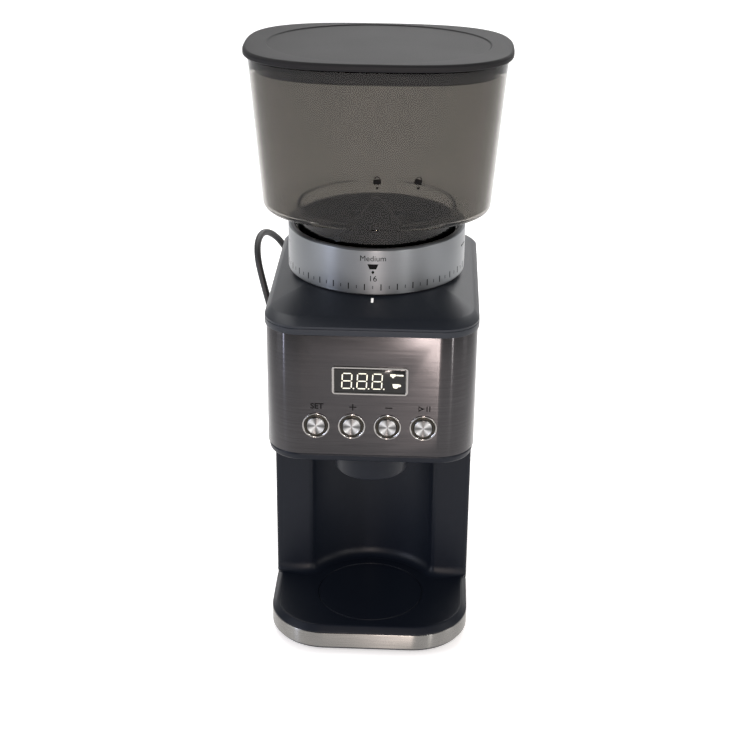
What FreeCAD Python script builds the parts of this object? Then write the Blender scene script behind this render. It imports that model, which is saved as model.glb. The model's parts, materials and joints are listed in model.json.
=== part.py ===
"""A burr coffee grinder: hopper, grind dial, burr set, gear train, motor, control panel, base and mains lead.

The frame has +X to the right, +Y to the back and +Z up. The origin is at the middle of the footprint, on the
surface that the feet stand on. Every length is in millimetres.
"""

import FreeCAD, Part
import math
import os
from types import SimpleNamespace

import Sketcher
from FreeCAD import Placement, Rotation, Vector

os.makedirs("parts", exist_ok=True)
doc = FreeCAD.newDocument("Grinder")

DRIVING = {
    # the body's plan, measured from the origin
    "half_width": 67.4,
    "panel_front": 84.3,
    "base_front": 93.5,
    "body_back": 93.5,
    "front_corner": 24.0,
    "base_corner": 38.0,
    "back_corner": 22.0,
    "grind_axis": 3.5,
    "fit_gap": 0.3,
    "seat_gap": 0.05,
    # base
    "foot_radius": 9.0,
    "foot_height": 3.0,
    "foot_stem": 3.2,
    "foot_inset": 17.4,
    "foot_front": 68.0,
    "foot_back": 74.0,
    "cover_inset": 4.6,
    "cover_thick": 2.4,
    "trim_height": 10.9,
    "trim_thick": 1.2,
    "deck_thick": 4.5,
    "deck_bevel": 4.0,
    "screw_radius": 1.5,
    "screw_head": 3.2,
    "boss_radius": 4.5,
    "ring_mark": 36.5,
    # column and its recess
    "shell_wall": 2.8,
    "cheek_front": 21.0,
    "cheek_thick": 2.8,
    "recess_radius": 50.0,
    "spout_axis": 46.3,
    "deck_top": 21.2,
    # head
    "head_bottom": 143.0,
    "underside_thick": 5.4,
    "panel_height": 83.2,
    "panel_thick": 1.0,
    "panel_back": 34.7,
    "frame_thick": 2.5,
    # display and buttons
    "display_half": 24.2,
    "display_middle": 201.35,
    "display_tall": 19.5,
    "display_rim": 1.6,
    "display_corner": 2.2,
    "button_level": 169.1,
    "button_pitch": 22.9,
    "bezel_radius": 8.8,
    "cap_radius": 5.75,
    "cap_travel": 1.0,
    # top cover
    "top_overhang": 0.9,
    "top_edge": 5.1,
    "crease_level": 241.4,
    "crease_side": 3.5,
    "crease_front": 8.7,
    "dial_seat": 247.3,
    "seat_margin": 2.0,
    # dial
    "dial_wall": 4.3,
    "dial_height": 30.9,
    "dial_skin": 1.7,
    "throat_gap": 1.9,
    "dial_web": 2.4,
    "thread_step": 6.1,
    "thread_wall": 2.6,
    "thread_drop": 10.7,
    # hopper
    "neck_radius": 52.3,
    "hopper_wall": 2.2,
    "neck_bottom": 262.4,
    "lug_drop": 6.0,
    "flange_step": 1.2,
    "hopper_floor": 289.0,
    "hopper_shoulder": 294.5,
    "hopper_top": 390.4,
    "hopper_low_x": 75.0,
    "hopper_low_y": 51.6,
    "hopper_high_x": 82.3,
    "hopper_high_y": 56.6,
    "lid_half_x": 85.2,
    "lid_half_y": 58.6,
    "lid_thick": 4.6,
    "seal_height": 9.7,
    # burrs
    "ring_burr_radius": 24.2,
    "ring_burr_height": 13.0,
    "ring_burr_level": 230.0,
    "cone_burr_radius": 17.0,
    "cone_burr_height": 18.0,
    "cone_burr_level": 229.0,
    "chamber_radius": 34.0,
    "chamber_wall": 3.0,
    "chamber_floor": 210.0,
    "bearing_radius": 11.0,
    "bearing_height": 5.0,
    "shaft_radius": 4.0,
    "running_gap": 0.03,
    # gear train and motor
    "gear_module": 1.0,
    "pinion_teeth": 12,
    "wheel_teeth": 46,
    "small_teeth": 16,
    "drive_teeth": 46,
    "motor_axis": 48.0,
    "motor_radius": 33.0,
    "motor_wall": 2.0,
    "motor_bottom": 42.0,
    "motor_shaft": 3.0,
    "case_floor": 151.0,
    "case_height": 47.0,
    "case_wall": 2.5,
    # mains lead
    "cord_diameter": 5.0,
}

sheet = doc.addObject("Spreadsheet::Sheet", "Sizes")
for row, (alias, number) in enumerate(DRIVING.items(), start=1):
    sheet.set(f"A{row}", alias)
    sheet.set(f"B{row}", str(number))
    sheet.setAlias(f"B{row}", alias)
doc.recompute()


class Size:
    """A length that knows its value and the sheet expression that gives it."""

    def __init__(self, value, text):
        self.value = value
        self.text = text

    def __add__(self, other):
        other = as_size(other)
        return Size(self.value + other.value, f"({self.text} + {other.text})")

    def __sub__(self, other):
        other = as_size(other)
        return Size(self.value - other.value, f"({self.text} - {other.text})")

    def __mul__(self, other):
        other = as_size(other)
        return Size(self.value * other.value, f"({self.text} * {other.text})")

    def __truediv__(self, other):
        other = as_size(other)
        return Size(self.value / other.value, f"({self.text} / {other.text})")

    def __radd__(self, other):
        return as_size(other) + self

    def __rsub__(self, other):
        return as_size(other) - self

    def __rmul__(self, other):
        return as_size(other) * self

    def __neg__(self):
        return as_size(0) - self

    def __float__(self):
        return float(self.value)


def as_size(number):
    """A plain number as a Size."""
    return number if isinstance(number, Size) else Size(float(number), repr(float(number)))


s = SimpleNamespace(**{alias: Size(float(sheet.get(alias)), f"Sizes.{alias}") for alias in DRIVING})
nodes = {}

# sizes that follow another one, so that neighbours stay matched
FOOT_ACROSS = s.half_width - s.foot_inset
NECK_FLANGE = s.neck_radius + s.flange_step
DIAL_BORE = s.neck_radius + s.throat_gap
DIAL_RADIUS = DIAL_BORE + s.dial_wall
DIAL_SEAT_RADIUS = DIAL_RADIUS + s.seat_margin
THREAD_RADIUS = s.neck_radius - s.thread_step


def bind(thing, **sizes):
    """Ties properties of an object to the sheet; x, y and z are its place."""
    for name, number in sizes.items():
        path = f"Placement.Base.{name}" if name in "xyz" else name
        thing.setExpression(path, as_size(number).text)
    return thing


def node(name, thing):
    """Marks an object as one finished piece and gives it its label."""
    thing.Label = name
    nodes[name] = thing
    return thing


def cylinder(radius, bottom, top, x=0, y=None):
    """An upright cylinder on the grinding axis, or on another one."""
    made = doc.addObject("Part::Cylinder", "Cylinder")
    return bind(made, Radius=radius, Height=as_size(top) - bottom, x=x, y=s.grind_axis if y is None else y,
                z=bottom)


def cone(low_radius, high_radius, bottom, top, x=0, y=None):
    """An upright cone on the grinding axis, or on another one."""
    made = doc.addObject("Part::Cone", "Cone")
    where = s.grind_axis if y is None else y
    return bind(made, Radius1=low_radius, Radius2=high_radius, Height=as_size(top) - bottom, x=x, y=where,
                z=bottom)


def box(low_x, high_x, low_y, high_y, low_z, high_z):
    """A box between its low and high sides."""
    made = doc.addObject("Part::Box", "Box")
    sides = {"Length": as_size(high_x) - low_x, "Width": as_size(high_y) - low_y,
             "Height": as_size(high_z) - low_z}
    return bind(made, x=low_x, y=low_y, z=low_z, **sides)


def facing_cylinder(radius, front, back, x, z):
    """A cylinder that lies along Y, between its front and back faces."""
    made = doc.addObject("Part::Cylinder", "Facing")
    made.Placement = Placement(Vector(), Rotation(Vector(1, 0, 0), -90))
    return bind(made, Radius=radius, Height=as_size(back) - front, x=x, y=front, z=z)


def cut(base, *tools):
    """The base less every tool."""
    for tool in tools:
        made = doc.addObject("Part::Cut", "Cut")
        made.Base, made.Tool = base, tool
        base = made
    return base


def fuse(*pieces):
    """One solid from pieces that touch or overlap."""
    made = doc.addObject("Part::MultiFuse", "Fusion")
    made.Shapes = list(pieces)
    made.Refine = True
    return made


def common(base, tool):
    """What two pieces share."""
    made = doc.addObject("Part::Common", "Common")
    made.Base, made.Tool = base, tool
    return made


def group(*pieces):
    """Separate identical solids that share one node."""
    made = doc.addObject("Part::Compound", "Group")
    made.Links = list(pieces)
    return made


def formed(shape):
    """An object that holds a shape made by formula."""
    made = doc.addObject("Part::Feature", "Formed")
    made.Shape = shape
    made.Placement = Placement()
    return made


def rounded_sketch(level, half_width, front, back, front_corner, back_corner):
    """A plan outline, symmetric about the Y axis, with round front and back corners."""
    sketch = doc.addObject("Sketcher::SketchObject", "Outline")
    wide, near, far = float(half_width), -float(front), float(back)
    small, large = float(front_corner), float(back_corner)
    corners = [
        (wide - small, near + small, small, -90),
        (wide - large, far - large, large, 0),
        (-wide + large, far - large, large, 90),
        (-wide + small, near + small, small, 180),
    ]
    arcs = []
    for x, y, radius, start in corners:
        circle = Part.Circle(Vector(x, y, 0), Vector(0, 0, 1), radius)
        arcs.append(Part.ArcOfCircle(circle, math.radians(start), math.radians(start + 90)))
    lines = [Part.LineSegment(arcs[n].EndPoint, arcs[(n + 1) % 4].StartPoint) for n in range(4)]
    for arc, line in zip(arcs, lines):
        sketch.addGeometry(arc)
        sketch.addGeometry(line)
    for n in range(8):
        sketch.addConstraint(Sketcher.Constraint("Tangent", n, 2, (n + 1) % 8, 1))
    for n, way in ((1, "Vertical"), (3, "Horizontal"), (5, "Vertical"), (7, "Horizontal")):
        sketch.addConstraint(Sketcher.Constraint(way, n))
    driven = [
        (Sketcher.Constraint("Radius", 0, small), front_corner),
        (Sketcher.Constraint("Radius", 6, small), front_corner),
        (Sketcher.Constraint("Radius", 2, large), back_corner),
        (Sketcher.Constraint("Radius", 4, large), back_corner),
        (Sketcher.Constraint("DistanceX", -1, 1, 1, 1, wide), half_width),
        (Sketcher.Constraint("DistanceX", 5, 1, -1, 1, wide), half_width),
        (Sketcher.Constraint("DistanceY", 7, 1, -1, 1, -near), front),
        (Sketcher.Constraint("DistanceY", -1, 1, 3, 1, far), back),
    ]
    for constraint, number in driven:
        index = sketch.addConstraint(constraint)
        sketch.setExpression(f"Constraints[{index}]", as_size(number).text)
    return bind(sketch, z=level)


def slab(bottom, top, half_width, front, back, front_corner, back_corner):
    """An upright prism on a rounded plan outline."""
    made = doc.addObject("Part::Extrusion", "Slab")
    made.Base = rounded_sketch(bottom, half_width, front, back, front_corner, back_corner)
    made.DirMode = "Custom"
    made.Dir = Vector(0, 0, 1)
    made.Solid = True
    return bind(made, LengthFwd=as_size(top) - bottom)


def base_slab(bottom, top, inset):
    """A prism on the base's plan, drawn in by an inset all round."""
    return slab(bottom, top, s.half_width - inset, s.base_front - inset, s.body_back - inset,
                s.base_corner - inset, s.back_corner - inset)


def head_slab(bottom, top, inset, back=None):
    """A prism on the head's plan; with no back given it runs past the rear housing's front edge."""
    return slab(bottom, top, s.half_width - inset, s.panel_front - inset,
                s.panel_back if back is None else back, s.front_corner - inset, as_size(1.0))


def tube(outer, inner, bottom, top, x=0, y=None):
    """An upright tube."""
    return cut(cylinder(outer, bottom, top, x, y), cylinder(inner, bottom - 1, top + 1, x, y))


# ---------------------------------------------------------------- base
TRIM_BOTTOM = s.foot_height + s.cover_thick + s.fit_gap
TRIM_TOP = TRIM_BOTTOM + s.trim_height
DECK_BOTTOM = s.deck_top - s.deck_thick
SCREW_ROWS = (-s.foot_front * 0.7, s.foot_back * 0.7)
SCREW_SPOTS = [(side * FOOT_ACROSS * 0.8, row) for side in (-1, 1) for row in SCREW_ROWS]
FEET = {
    "foot_front_left": (-FOOT_ACROSS, -s.foot_front),
    "foot_front_right": (FOOT_ACROSS, -s.foot_front),
    "foot_back_left": (-FOOT_ACROSS, s.foot_back),
    "foot_back_right": (FOOT_ACROSS, s.foot_back),
}


def make_feet():
    """Four rubber feet, each with a stem pushed into the bottom cover."""
    for name, (x, y) in FEET.items():
        pad = cone(s.foot_radius - 1, s.foot_radius, 0, s.foot_height, x, y)
        stem = cylinder(s.foot_stem, s.foot_height, s.foot_height + s.cover_thick + 2, x, y)
        node(name, fuse(pad, stem))


def make_bottom_cover():
    """The flat cover under the base, with holes for the feet's stems and the screws."""
    low, high = s.foot_height, s.foot_height + s.cover_thick
    plate = base_slab(low, high, s.cover_inset)
    stems = [cylinder(s.foot_stem + s.seat_gap, low - 1, high + 1, x, y) for x, y in FEET.values()]
    shanks = [cylinder(s.screw_radius + s.fit_gap, low - 1, high + 1, x, y) for x, y in SCREW_SPOTS]
    heads = [cylinder(s.screw_head + s.fit_gap, low - 1, low + 1.4, x, y) for x, y in SCREW_SPOTS]
    node("bottom_cover", cut(plate, *stems, *shanks, *heads))


def make_base_screws():
    """Four identical screws that hold the cover to the deck's bosses."""
    screws = []
    for x, y in SCREW_SPOTS:
        head = cylinder(s.screw_head, s.foot_height + 0.2, s.foot_height + 1.4, x, y)
        shank = cylinder(s.screw_radius, s.foot_height + 1.4, DECK_BOTTOM - 2, x, y)
        screws.append(fuse(head, shank))
    node("base_screws", group(*screws))


def make_base_tray():
    """The black ring that backs the steel trim and stands out a little under it."""
    inner = s.cover_inset - s.fit_gap
    band = base_slab(TRIM_BOTTOM - 0.1, TRIM_TOP, s.trim_thick + s.seat_gap)
    lip = base_slab(s.foot_height + 0.6, TRIM_BOTTOM - 0.1, 0.6)
    node("base_tray", cut(fuse(band, lip), base_slab(0, s.deck_top, inner)))


def make_base_trim():
    """The brushed steel band round the base."""
    band = base_slab(TRIM_BOTTOM, TRIM_TOP, 0)
    node("base_trim", cut(band, base_slab(TRIM_BOTTOM - 1, TRIM_TOP + 1, s.trim_thick)))


def make_base_deck():
    """The deck that the cup or portafilter stands on: bevelled in front, set inside the housing behind."""
    body = doc.addObject("PartDesign::Body", "Deck")
    plane = next(f for f in body.Origin.OriginFeatures if f.Role == "XY_Plane")
    outline = rounded_sketch(DECK_BOTTOM, s.half_width, s.base_front, s.body_back, s.base_corner,
                             s.back_corner)
    body.addObject(outline)
    outline.AttachmentSupport = [(plane, "")]
    outline.MapMode = "FlatFace"
    outline.setExpression("Placement.Base.z", None)
    outline.setExpression("AttachmentOffset.Base.z", DECK_BOTTOM.text)
    pad = body.newObject("PartDesign::Pad", "DeckPad")
    pad.Profile = outline
    pad.setExpression("Length", s.deck_thick.text)
    doc.recompute()
    level = s.deck_top.value
    edges = [f"Edge{n}" for n, e in enumerate(pad.Shape.Edges, start=1)
             if e.BoundBox.ZMin > level - 0.01]
    bevel = body.newObject("PartDesign::Chamfer", "DeckBevel")
    bevel.Base = (pad, edges)
    bevel.setExpression("Size", s.deck_bevel.text)
    body.Tip = bevel
    doc.recompute()
    seam = -s.cheek_front + s.fit_gap
    front = common(body, box(-s.half_width - 1, s.half_width + 1, -s.base_front - 1, seam, DECK_BOTTOM - 1,
                             s.deck_top + 1))
    inset = s.shell_wall + s.fit_gap
    rear = common(base_slab(DECK_BOTTOM, s.deck_top, inset),
                  box(-s.half_width, s.half_width, seam, s.body_back, DECK_BOTTOM - 1, s.deck_top + 1))
    bosses = [cylinder(s.boss_radius, s.foot_height + s.cover_thick, DECK_BOTTOM + 1, x, y) for x,
              y in SCREW_SPOTS]
    holes = [cylinder(s.screw_radius + s.seat_gap, 0, DECK_BOTTOM - 1.6, x, y) for x, y in SCREW_SPOTS]
    mark = tube(s.ring_mark, s.ring_mark - 1.2, s.deck_top - 0.5, s.deck_top + 1, 0, -s.spout_axis)
    wires = box(-30, 30, 22, 66, DECK_BOTTOM - 1, s.deck_top + 1)
    node("base_deck", cut(fuse(front, rear, *bosses), *holes, mark, wires))


# ---------------------------------------------------------------- column and head shells
UNDERSIDE_TOP = s.head_bottom + s.underside_thick
PANEL_BOTTOM = UNDERSIDE_TOP + 0.25
PANEL_TOP = PANEL_BOTTOM + s.panel_height
SHELL_BOTTOM = TRIM_TOP + 0.3


def make_rear_housing():
    """The black shell of the sides and back: the whole column, and the head behind the steel panel."""
    front = s.cheek_front - s.cheek_thick - s.fit_gap / 2
    outer = slab(SHELL_BOTTOM, PANEL_TOP, s.half_width, front, s.body_back, as_size(0.5), s.back_corner)
    wall = s.shell_wall
    inner = slab(SHELL_BOTTOM - 1, PANEL_TOP + 1, s.half_width - wall, front + 10, s.body_back - wall,
                 as_size(0.5),
                 s.back_corner - wall)
    notch = box(-s.half_width - 1, s.half_width + 1, -s.base_front, s.panel_back + s.fit_gap,
                s.head_bottom - s.fit_gap, PANEL_TOP + 1)
    lead = facing_cylinder(GLAND_RADIUS + s.seat_gap, s.body_back - wall - 5, s.body_back + 5, GLAND_X,
                           GLAND_Z)
    node("rear_housing", cut(outer, inner, notch, lead))


def make_column_front():
    """The column's front: two flat cheeks and a half-round recess that follows the cup."""
    low, high = s.deck_top + s.fit_gap / 2, s.head_bottom - s.fit_gap
    plate = slab(low, high, s.half_width, s.cheek_front, s.cheek_thick - s.cheek_front, as_size(1.2),
                 as_size(0.2))
    thick = 2.5
    outer = cylinder(s.recess_radius + thick, low, high, 0, -s.spout_axis)
    behind = box(-s.half_width + s.shell_wall + 1, s.half_width - s.shell_wall - 1, -s.cheek_front,
                 s.body_back, low, high)
    hollow = cylinder(s.recess_radius, low - 1, high + 1, 0, -s.spout_axis)
    node("column_front", cut(fuse(plate, common(outer, behind)), hollow))


def make_head_underside():
    """The black tray under the head, round the spout, open behind for the drive."""
    plate = head_slab(s.head_bottom, UNDERSIDE_TOP, 0.7)
    bore = cylinder(SPOUT_RADIUS + 0.4, s.head_bottom - 1, UNDERSIDE_TOP + 1, 0, -s.spout_axis)
    drive = box(-s.half_width + 7, s.half_width - 7, 0, s.panel_back + 1, s.head_bottom - 1,
                UNDERSIDE_TOP + 1)
    rim = cut(head_slab(s.head_bottom - 1, s.head_bottom + 1.6, 4.5, s.panel_back - 4),
              cylinder(SPOUT_RADIUS + 4, s.head_bottom - 1, s.head_bottom + 1.6, 0, -s.spout_axis))
    node("head_underside", cut(plate, bore, drive, rim))


BUTTONS = ["set", "plus", "minus", "start"]
BUTTON_X = {name: (n - 1.5) * s.button_pitch for n, name in enumerate(BUTTONS)}
PANEL_FACE = -s.panel_front


def display_block(grow, front, back):
    """The display's rounded rectangle, from a front face to a back face."""
    half, tall = s.display_half + grow, s.display_tall / 2 + grow
    corner = s.display_corner + grow
    across = box(-half, half, front, back, s.display_middle - tall + corner, s.display_middle + tall - corner)
    upright = box(-half + corner, half - corner, front, back, s.display_middle - tall,
                  s.display_middle + tall)
    ends = [facing_cylinder(corner, front, back, side * (half - corner),
                            s.display_middle + way * (tall - corner))
            for side in (-1, 1) for way in (-1, 1)]
    return fuse(across, upright, *ends)


def panel_band(bottom, top, inset, thick):
    """A U of sheet that follows the head's front and sides."""
    band = cut(head_slab(bottom, top, inset), head_slab(bottom - 1, top + 1, inset + thick))
    return cut(band,
               box(-s.half_width + inset + thick, s.half_width - inset - thick,
                   s.panel_back - inset - thick - 2,
                         s.panel_back + 1, bottom - 1, top + 1))


def make_panel():
    """The brushed steel panel and the plastic frame behind it, both open for the display and the buttons."""
    sheet_bores = [facing_cylinder(s.bezel_radius + 0.1, PANEL_FACE - 2, PANEL_FACE + 6, x, s.button_level)
                   for x in BUTTON_X.values()]
    steel = panel_band(PANEL_BOTTOM, PANEL_TOP, 0, s.panel_thick)
    node("front_panel", cut(steel, display_block(0.1, PANEL_FACE - 2, PANEL_FACE + 6), *sheet_bores))
    frame_bores = [facing_cylinder(s.bezel_radius + 0.1, PANEL_FACE - 2, PANEL_FACE + 6, x, s.button_level)
                   for x in BUTTON_X.values()]
    backing = panel_band(PANEL_BOTTOM + 0.2, PANEL_TOP - 0.3, s.panel_thick + 0.1, s.frame_thick)
    node("panel_frame", cut(backing, display_block(0.1, PANEL_FACE - 2, PANEL_FACE + 6), *frame_bores))


def make_display():
    """The display: a bright frame, a dark window and the lit module behind it."""
    rim = s.display_rim
    frame = cut(display_block(0, PANEL_FACE - 0.8, PANEL_FACE + 3.4),
                display_block(-rim, PANEL_FACE - 2, PANEL_FACE + 5))
    node("display_frame", frame)
    node("display_window", display_block(-rim - 0.1, PANEL_FACE - 0.1, PANEL_FACE + 1.4))
    half, tall = s.display_half - rim - 0.6, s.display_tall / 2 - rim - 0.6
    node("display_module", box(-half, half, PANEL_FACE + 1.6, BOARD_FRONT, s.display_middle - tall,
                               s.display_middle + tall))


CAP_BACK = PANEL_FACE + 6.7
SWITCH_FRONT = CAP_BACK + s.cap_travel + 0.3
BOARD_FRONT = SWITCH_FRONT + 3.5


def make_buttons():
    """Four round keys, each with a flange that keeps it in, and their four identical bezels as one node."""
    bezels = []
    for name, x in BUTTON_X.items():
        z = s.button_level
        outer = facing_cylinder(s.bezel_radius, PANEL_FACE - 0.9, PANEL_FACE + 5.2, x, z)
        bore = facing_cylinder(s.cap_radius + 0.35, PANEL_FACE - 2, PANEL_FACE + 7, x, z)
        dish = facing_cylinder(s.bezel_radius - 1.3, PANEL_FACE - 2, PANEL_FACE - 0.1, x, z)
        bezels.append(cut(outer, bore, dish))
        cap = facing_cylinder(s.cap_radius, PANEL_FACE - 1.4, CAP_BACK, x, z)
        flange = facing_cylinder(s.cap_radius + 1.6, PANEL_FACE + 5.5, CAP_BACK, x, z)
        node(f"button_{name}", fuse(cap, flange))
    node("button_bezels", group(*bezels))


def make_control_board():
    """The board behind the panel, with one push switch for each key."""
    board = box(-46, 46, BOARD_FRONT, BOARD_FRONT + 1.6, s.button_level - 11,
                s.display_middle + s.display_tall / 2 + 5)
    node("control_board", board)
    switches = []
    for x in BUTTON_X.values():
        case = box(x - 3, x + 3, SWITCH_FRONT + 0.9, BOARD_FRONT, s.button_level - 3, s.button_level + 3)
        plunger = facing_cylinder(as_size(1.7), SWITCH_FRONT, SWITCH_FRONT + 0.9, x, s.button_level)
        switches.append(fuse(case, plunger))
    node("push_switches", group(*switches))


def plan_wire(level, half_width, front, back, front_corner, back_corner, centre_y=0.0):
    """A rounded plan outline as eight edges that start at the middle of the right side."""
    sides = [(half_width, -front, front_corner, -90), (half_width, back, back_corner, 0),
             (-half_width, back, back_corner, 90), (-half_width, -front, front_corner, 180)]
    arcs = []
    for x, y, radius, start in sides:
        middle = Vector(x - math.copysign(radius, x), y - math.copysign(radius, y) + centre_y, level)
        circle = Part.Circle(middle, Vector(0, 0, 1), radius)
        arcs.append(Part.ArcOfCircle(circle, math.radians(start), math.radians(start + 90)))
    edges = []
    for n, arc in enumerate(arcs):
        edges += [arc.toShape(), Part.LineSegment(arc.EndPoint, arcs[(n + 1) % 4].StartPoint).toShape()]
    return Part.Wire(edges)


def round_wire(level, radius, centre_y, half_width, front, back, front_corner, back_corner):
    """A circle cut into eight arcs that face the eight edges of a rounded outline."""
    marks = [(half_width - front_corner, -front), (half_width, -front + front_corner),
             (half_width, back - back_corner), (half_width - back_corner, back),
             (-half_width + back_corner, back), (-half_width, back - back_corner),
             (-half_width, -front + front_corner), (-half_width + front_corner, -front)]
    angles = [math.atan2(y - centre_y, x) for x, y in marks]
    circle = Part.Circle(Vector(0, centre_y, level), Vector(0, 0, 1), radius)
    edges = []
    for n, start in enumerate(angles):
        end = angles[(n + 1) % len(angles)]
        edges.append(Part.ArcOfCircle(circle, start, end if end > start else end + 2 * math.pi).toShape())
    return Part.Wire(edges)


def make_top_cover():
    """The dark cover: an upright edge, a bevel up to a crease, and a gentle slope up to the dial's seat."""
    low = float(PANEL_TOP) + 0.2
    edge = low + float(s.top_edge)
    out = float(s.top_overhang)
    plan = [float(s.half_width) + out, float(s.panel_front) + out, float(s.body_back)]
    corners = [float(s.front_corner), float(s.back_corner)]
    side, ahead = float(s.crease_side), float(s.crease_front)
    crease = [plan[0] - side, plan[1] - ahead, plan[2] - ahead * 0.7]
    crease_corners = [corners[0] - 3, corners[1] - 3]
    seat = round_wire(float(s.dial_seat), float(DIAL_SEAT_RADIUS), float(s.grind_axis), *crease,
                      *crease_corners)
    rise = float(s.crease_level)
    outlines = [plan_wire(low, *plan, *corners), plan_wire(edge, *plan, *corners),
                plan_wire(rise, *crease, *crease_corners), seat]
    shape = Part.makeLoft(outlines, True, True)
    wall = 3.0
    hollow_plan = [p - wall for p in plan]
    hollow = Part.makeLoft([plan_wire(low - 1, *hollow_plan, *[c - wall for c in corners]),
                            plan_wire(edge - 0.5, *hollow_plan, *[c - wall for c in corners])], True, True)
    skirt_gap = float(THREAD_RADIUS + s.thread_wall) + 0.4
    axis = Vector(0, float(s.grind_axis), 0)
    bore = Part.makeCylinder(skirt_gap, 60, axis + Vector(0, 0, low - 10))
    pocket = Part.makeCylinder(float(DIAL_SEAT_RADIUS) - 4, rise - edge + 3, axis + Vector(0, 0, edge - 1))
    node("top_cover", formed(shape.cut(hollow).cut(pocket).cut(bore)))


# ---------------------------------------------------------------- dial
DIAL_BOTTOM = s.dial_seat + 0.4
DIAL_TOP = DIAL_BOTTOM + s.dial_height
CORE_RADIUS = DIAL_RADIUS - s.dial_skin - s.seat_gap


def make_dial():
    """The grind dial: a ring with a rolled lip, on a core whose skirt carries the adjusting thread."""
    ring = tube(DIAL_RADIUS, DIAL_RADIUS - s.dial_skin, DIAL_BOTTOM, DIAL_TOP)
    lip = tube(DIAL_RADIUS, DIAL_BORE + 0.8, DIAL_TOP - 1.4, DIAL_TOP)
    node("dial_ring", fuse(ring, lip))
    low, high = DIAL_BOTTOM + 0.3, DIAL_TOP - 1.4 - s.seat_gap
    wall = tube(CORE_RADIUS, DIAL_BORE, low, high)
    web = tube(CORE_RADIUS, THREAD_RADIUS, low, low + s.dial_web)
    skirt = tube(THREAD_RADIUS + s.thread_wall, THREAD_RADIUS, low - s.thread_drop, low + s.dial_web)
    node("dial_core", fuse(wall, web, skirt))


# ---------------------------------------------------------------- hopper
LUG_ANGLES = (90, 210, 330)


def sector(radius, inner, bottom, top, middle, width):
    """A piece of a tube, a given number of degrees wide."""
    outer = doc.addObject("Part::Cylinder", "Sector")
    outer.Angle = width
    outer.Placement = Placement(Vector(), Rotation(Vector(0, 0, 1), middle - width / 2))
    bind(outer, Radius=radius, Height=as_size(top) - bottom, x=0, y=s.grind_axis, z=bottom)
    return cut(outer, cylinder(inner, bottom - 1, top + 1))


def superellipse(level, half_x, half_y, power):
    """A closed smooth outline round the grinding axis, between an ellipse and a rectangle."""
    points = []
    count = 72
    for n in range(count):
        angle = 2 * math.pi * n / count
        x = math.copysign(abs(math.cos(angle)) ** (2 / power), math.cos(angle)) * half_x
        y = math.copysign(abs(math.sin(angle)) ** (2 / power), math.sin(angle)) * half_y
        points.append(Vector(x, y + float(s.grind_axis), level))
    curve = Part.BSplineCurve()
    curve.interpolate(Points=points, PeriodicFlag=True)
    return Part.Wire([curve.toShape()])


LOW_POWER, HIGH_POWER = 2.43, 2.9
LID_POWER = 2.9


def hopper_loft(inset, floor, top):
    """The hopper's shape drawn in by an inset, from its floor over a round shoulder to its top."""
    low = [float(s.hopper_low_x) - inset, float(s.hopper_low_y) - inset]
    high = [float(s.hopper_high_x) - inset, float(s.hopper_high_y) - inset]
    shoulder = float(s.hopper_shoulder)
    radius = shoulder - floor
    outlines = []
    for step in range(5):
        turn = math.radians(22.5 * step)
        drawn = radius * (1 - math.sin(turn))
        level = shoulder - radius * math.cos(turn)
        outlines.append(superellipse(level, low[0] - drawn, low[1] - drawn, LOW_POWER))
    outlines.append(superellipse(top, *high, HIGH_POWER))
    return Part.makeLoft(outlines, True, True)


def make_hopper():
    """The smoked hopper: flared walls, a floor, a round neck with a flange, and three lugs."""
    wall = float(s.hopper_wall)
    floor, top = float(s.hopper_floor), float(s.hopper_top)
    outer = formed(hopper_loft(0, floor, top))
    inner = formed(hopper_loft(wall, floor + wall, top + 0.5))
    neck = cylinder(s.neck_radius, s.neck_bottom, s.hopper_floor + s.hopper_wall)
    flange = cylinder(NECK_FLANGE, DIAL_TOP - 6, DIAL_TOP - 3.6)
    bore = cylinder(s.neck_radius - s.hopper_wall, s.neck_bottom - 1, s.hopper_floor + s.hopper_wall + 1)
    lugs = [sector(s.neck_radius, s.neck_radius - s.hopper_wall, s.neck_bottom - s.lug_drop,
                   s.neck_bottom + 1,
                   angle, 20) for angle in LUG_ANGLES]
    shell = cut(fuse(cut(outer, inner), neck, flange), bore)
    node("hopper", fuse(shell, *lugs))


def make_lock_ring():
    """The ring in the throat that the hopper's lugs turn."""
    low = DIAL_BOTTOM + 0.3 + s.dial_web + 0.4
    ring = tube(DIAL_BORE - 0.4, THREAD_RADIUS + 1.3, low, s.neck_bottom - 0.4)
    notches = [sector(s.neck_radius + 0.4, s.neck_radius - s.hopper_wall - 0.4,
                      s.neck_bottom - s.lug_drop - 0.4,
                      s.neck_bottom + 1, angle, 22) for angle in LUG_ANGLES]
    node("lock_ring", cut(ring, *notches))


def make_hopper_guard():
    """The black cone that spreads the beans, on radial fins that keep fingers from the burrs."""
    rim = s.neck_radius - s.hopper_wall - 0.2
    low = s.neck_bottom + 0.2
    cap = cone(as_size(26), as_size(1.2), low, s.hopper_shoulder - 0.5)
    hollow = cone(as_size(23.5), as_size(0.2), low - 0.1, s.hopper_shoulder - 4)
    ring = tube(rim, rim - 2.2, low, low + 6)
    fins = []
    for n in range(8):
        fin = doc.addObject("Part::Box", "Fin")
        turn = Rotation(Vector(0, 0, 1), 45 * n + 22.5)
        fin.Placement = Placement(turn.multVec(Vector(0, -0.8, 0)), turn)
        fin.Width = 1.6
        sideways = turn.multVec(Vector(0, -0.8, 0))
        bind(fin, Length=rim - 1, Height=8, x=sideways.x, y=s.grind_axis + sideways.y, z=low)
        fins.append(fin)
    core = cylinder(as_size(22), low - 1, low + 40)
    spokes = cut(fuse(*fins), core)
    node("hopper_guard", fuse(cut(cap, hollow), spokes, ring))


def lid_loft(levels_and_insets, half_x, half_y, power):
    """A ruled stack of outlines."""
    return Part.makeLoft([superellipse(z, half_x - i, half_y - i, power) for z, i in levels_and_insets],
                         True, True)


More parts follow.
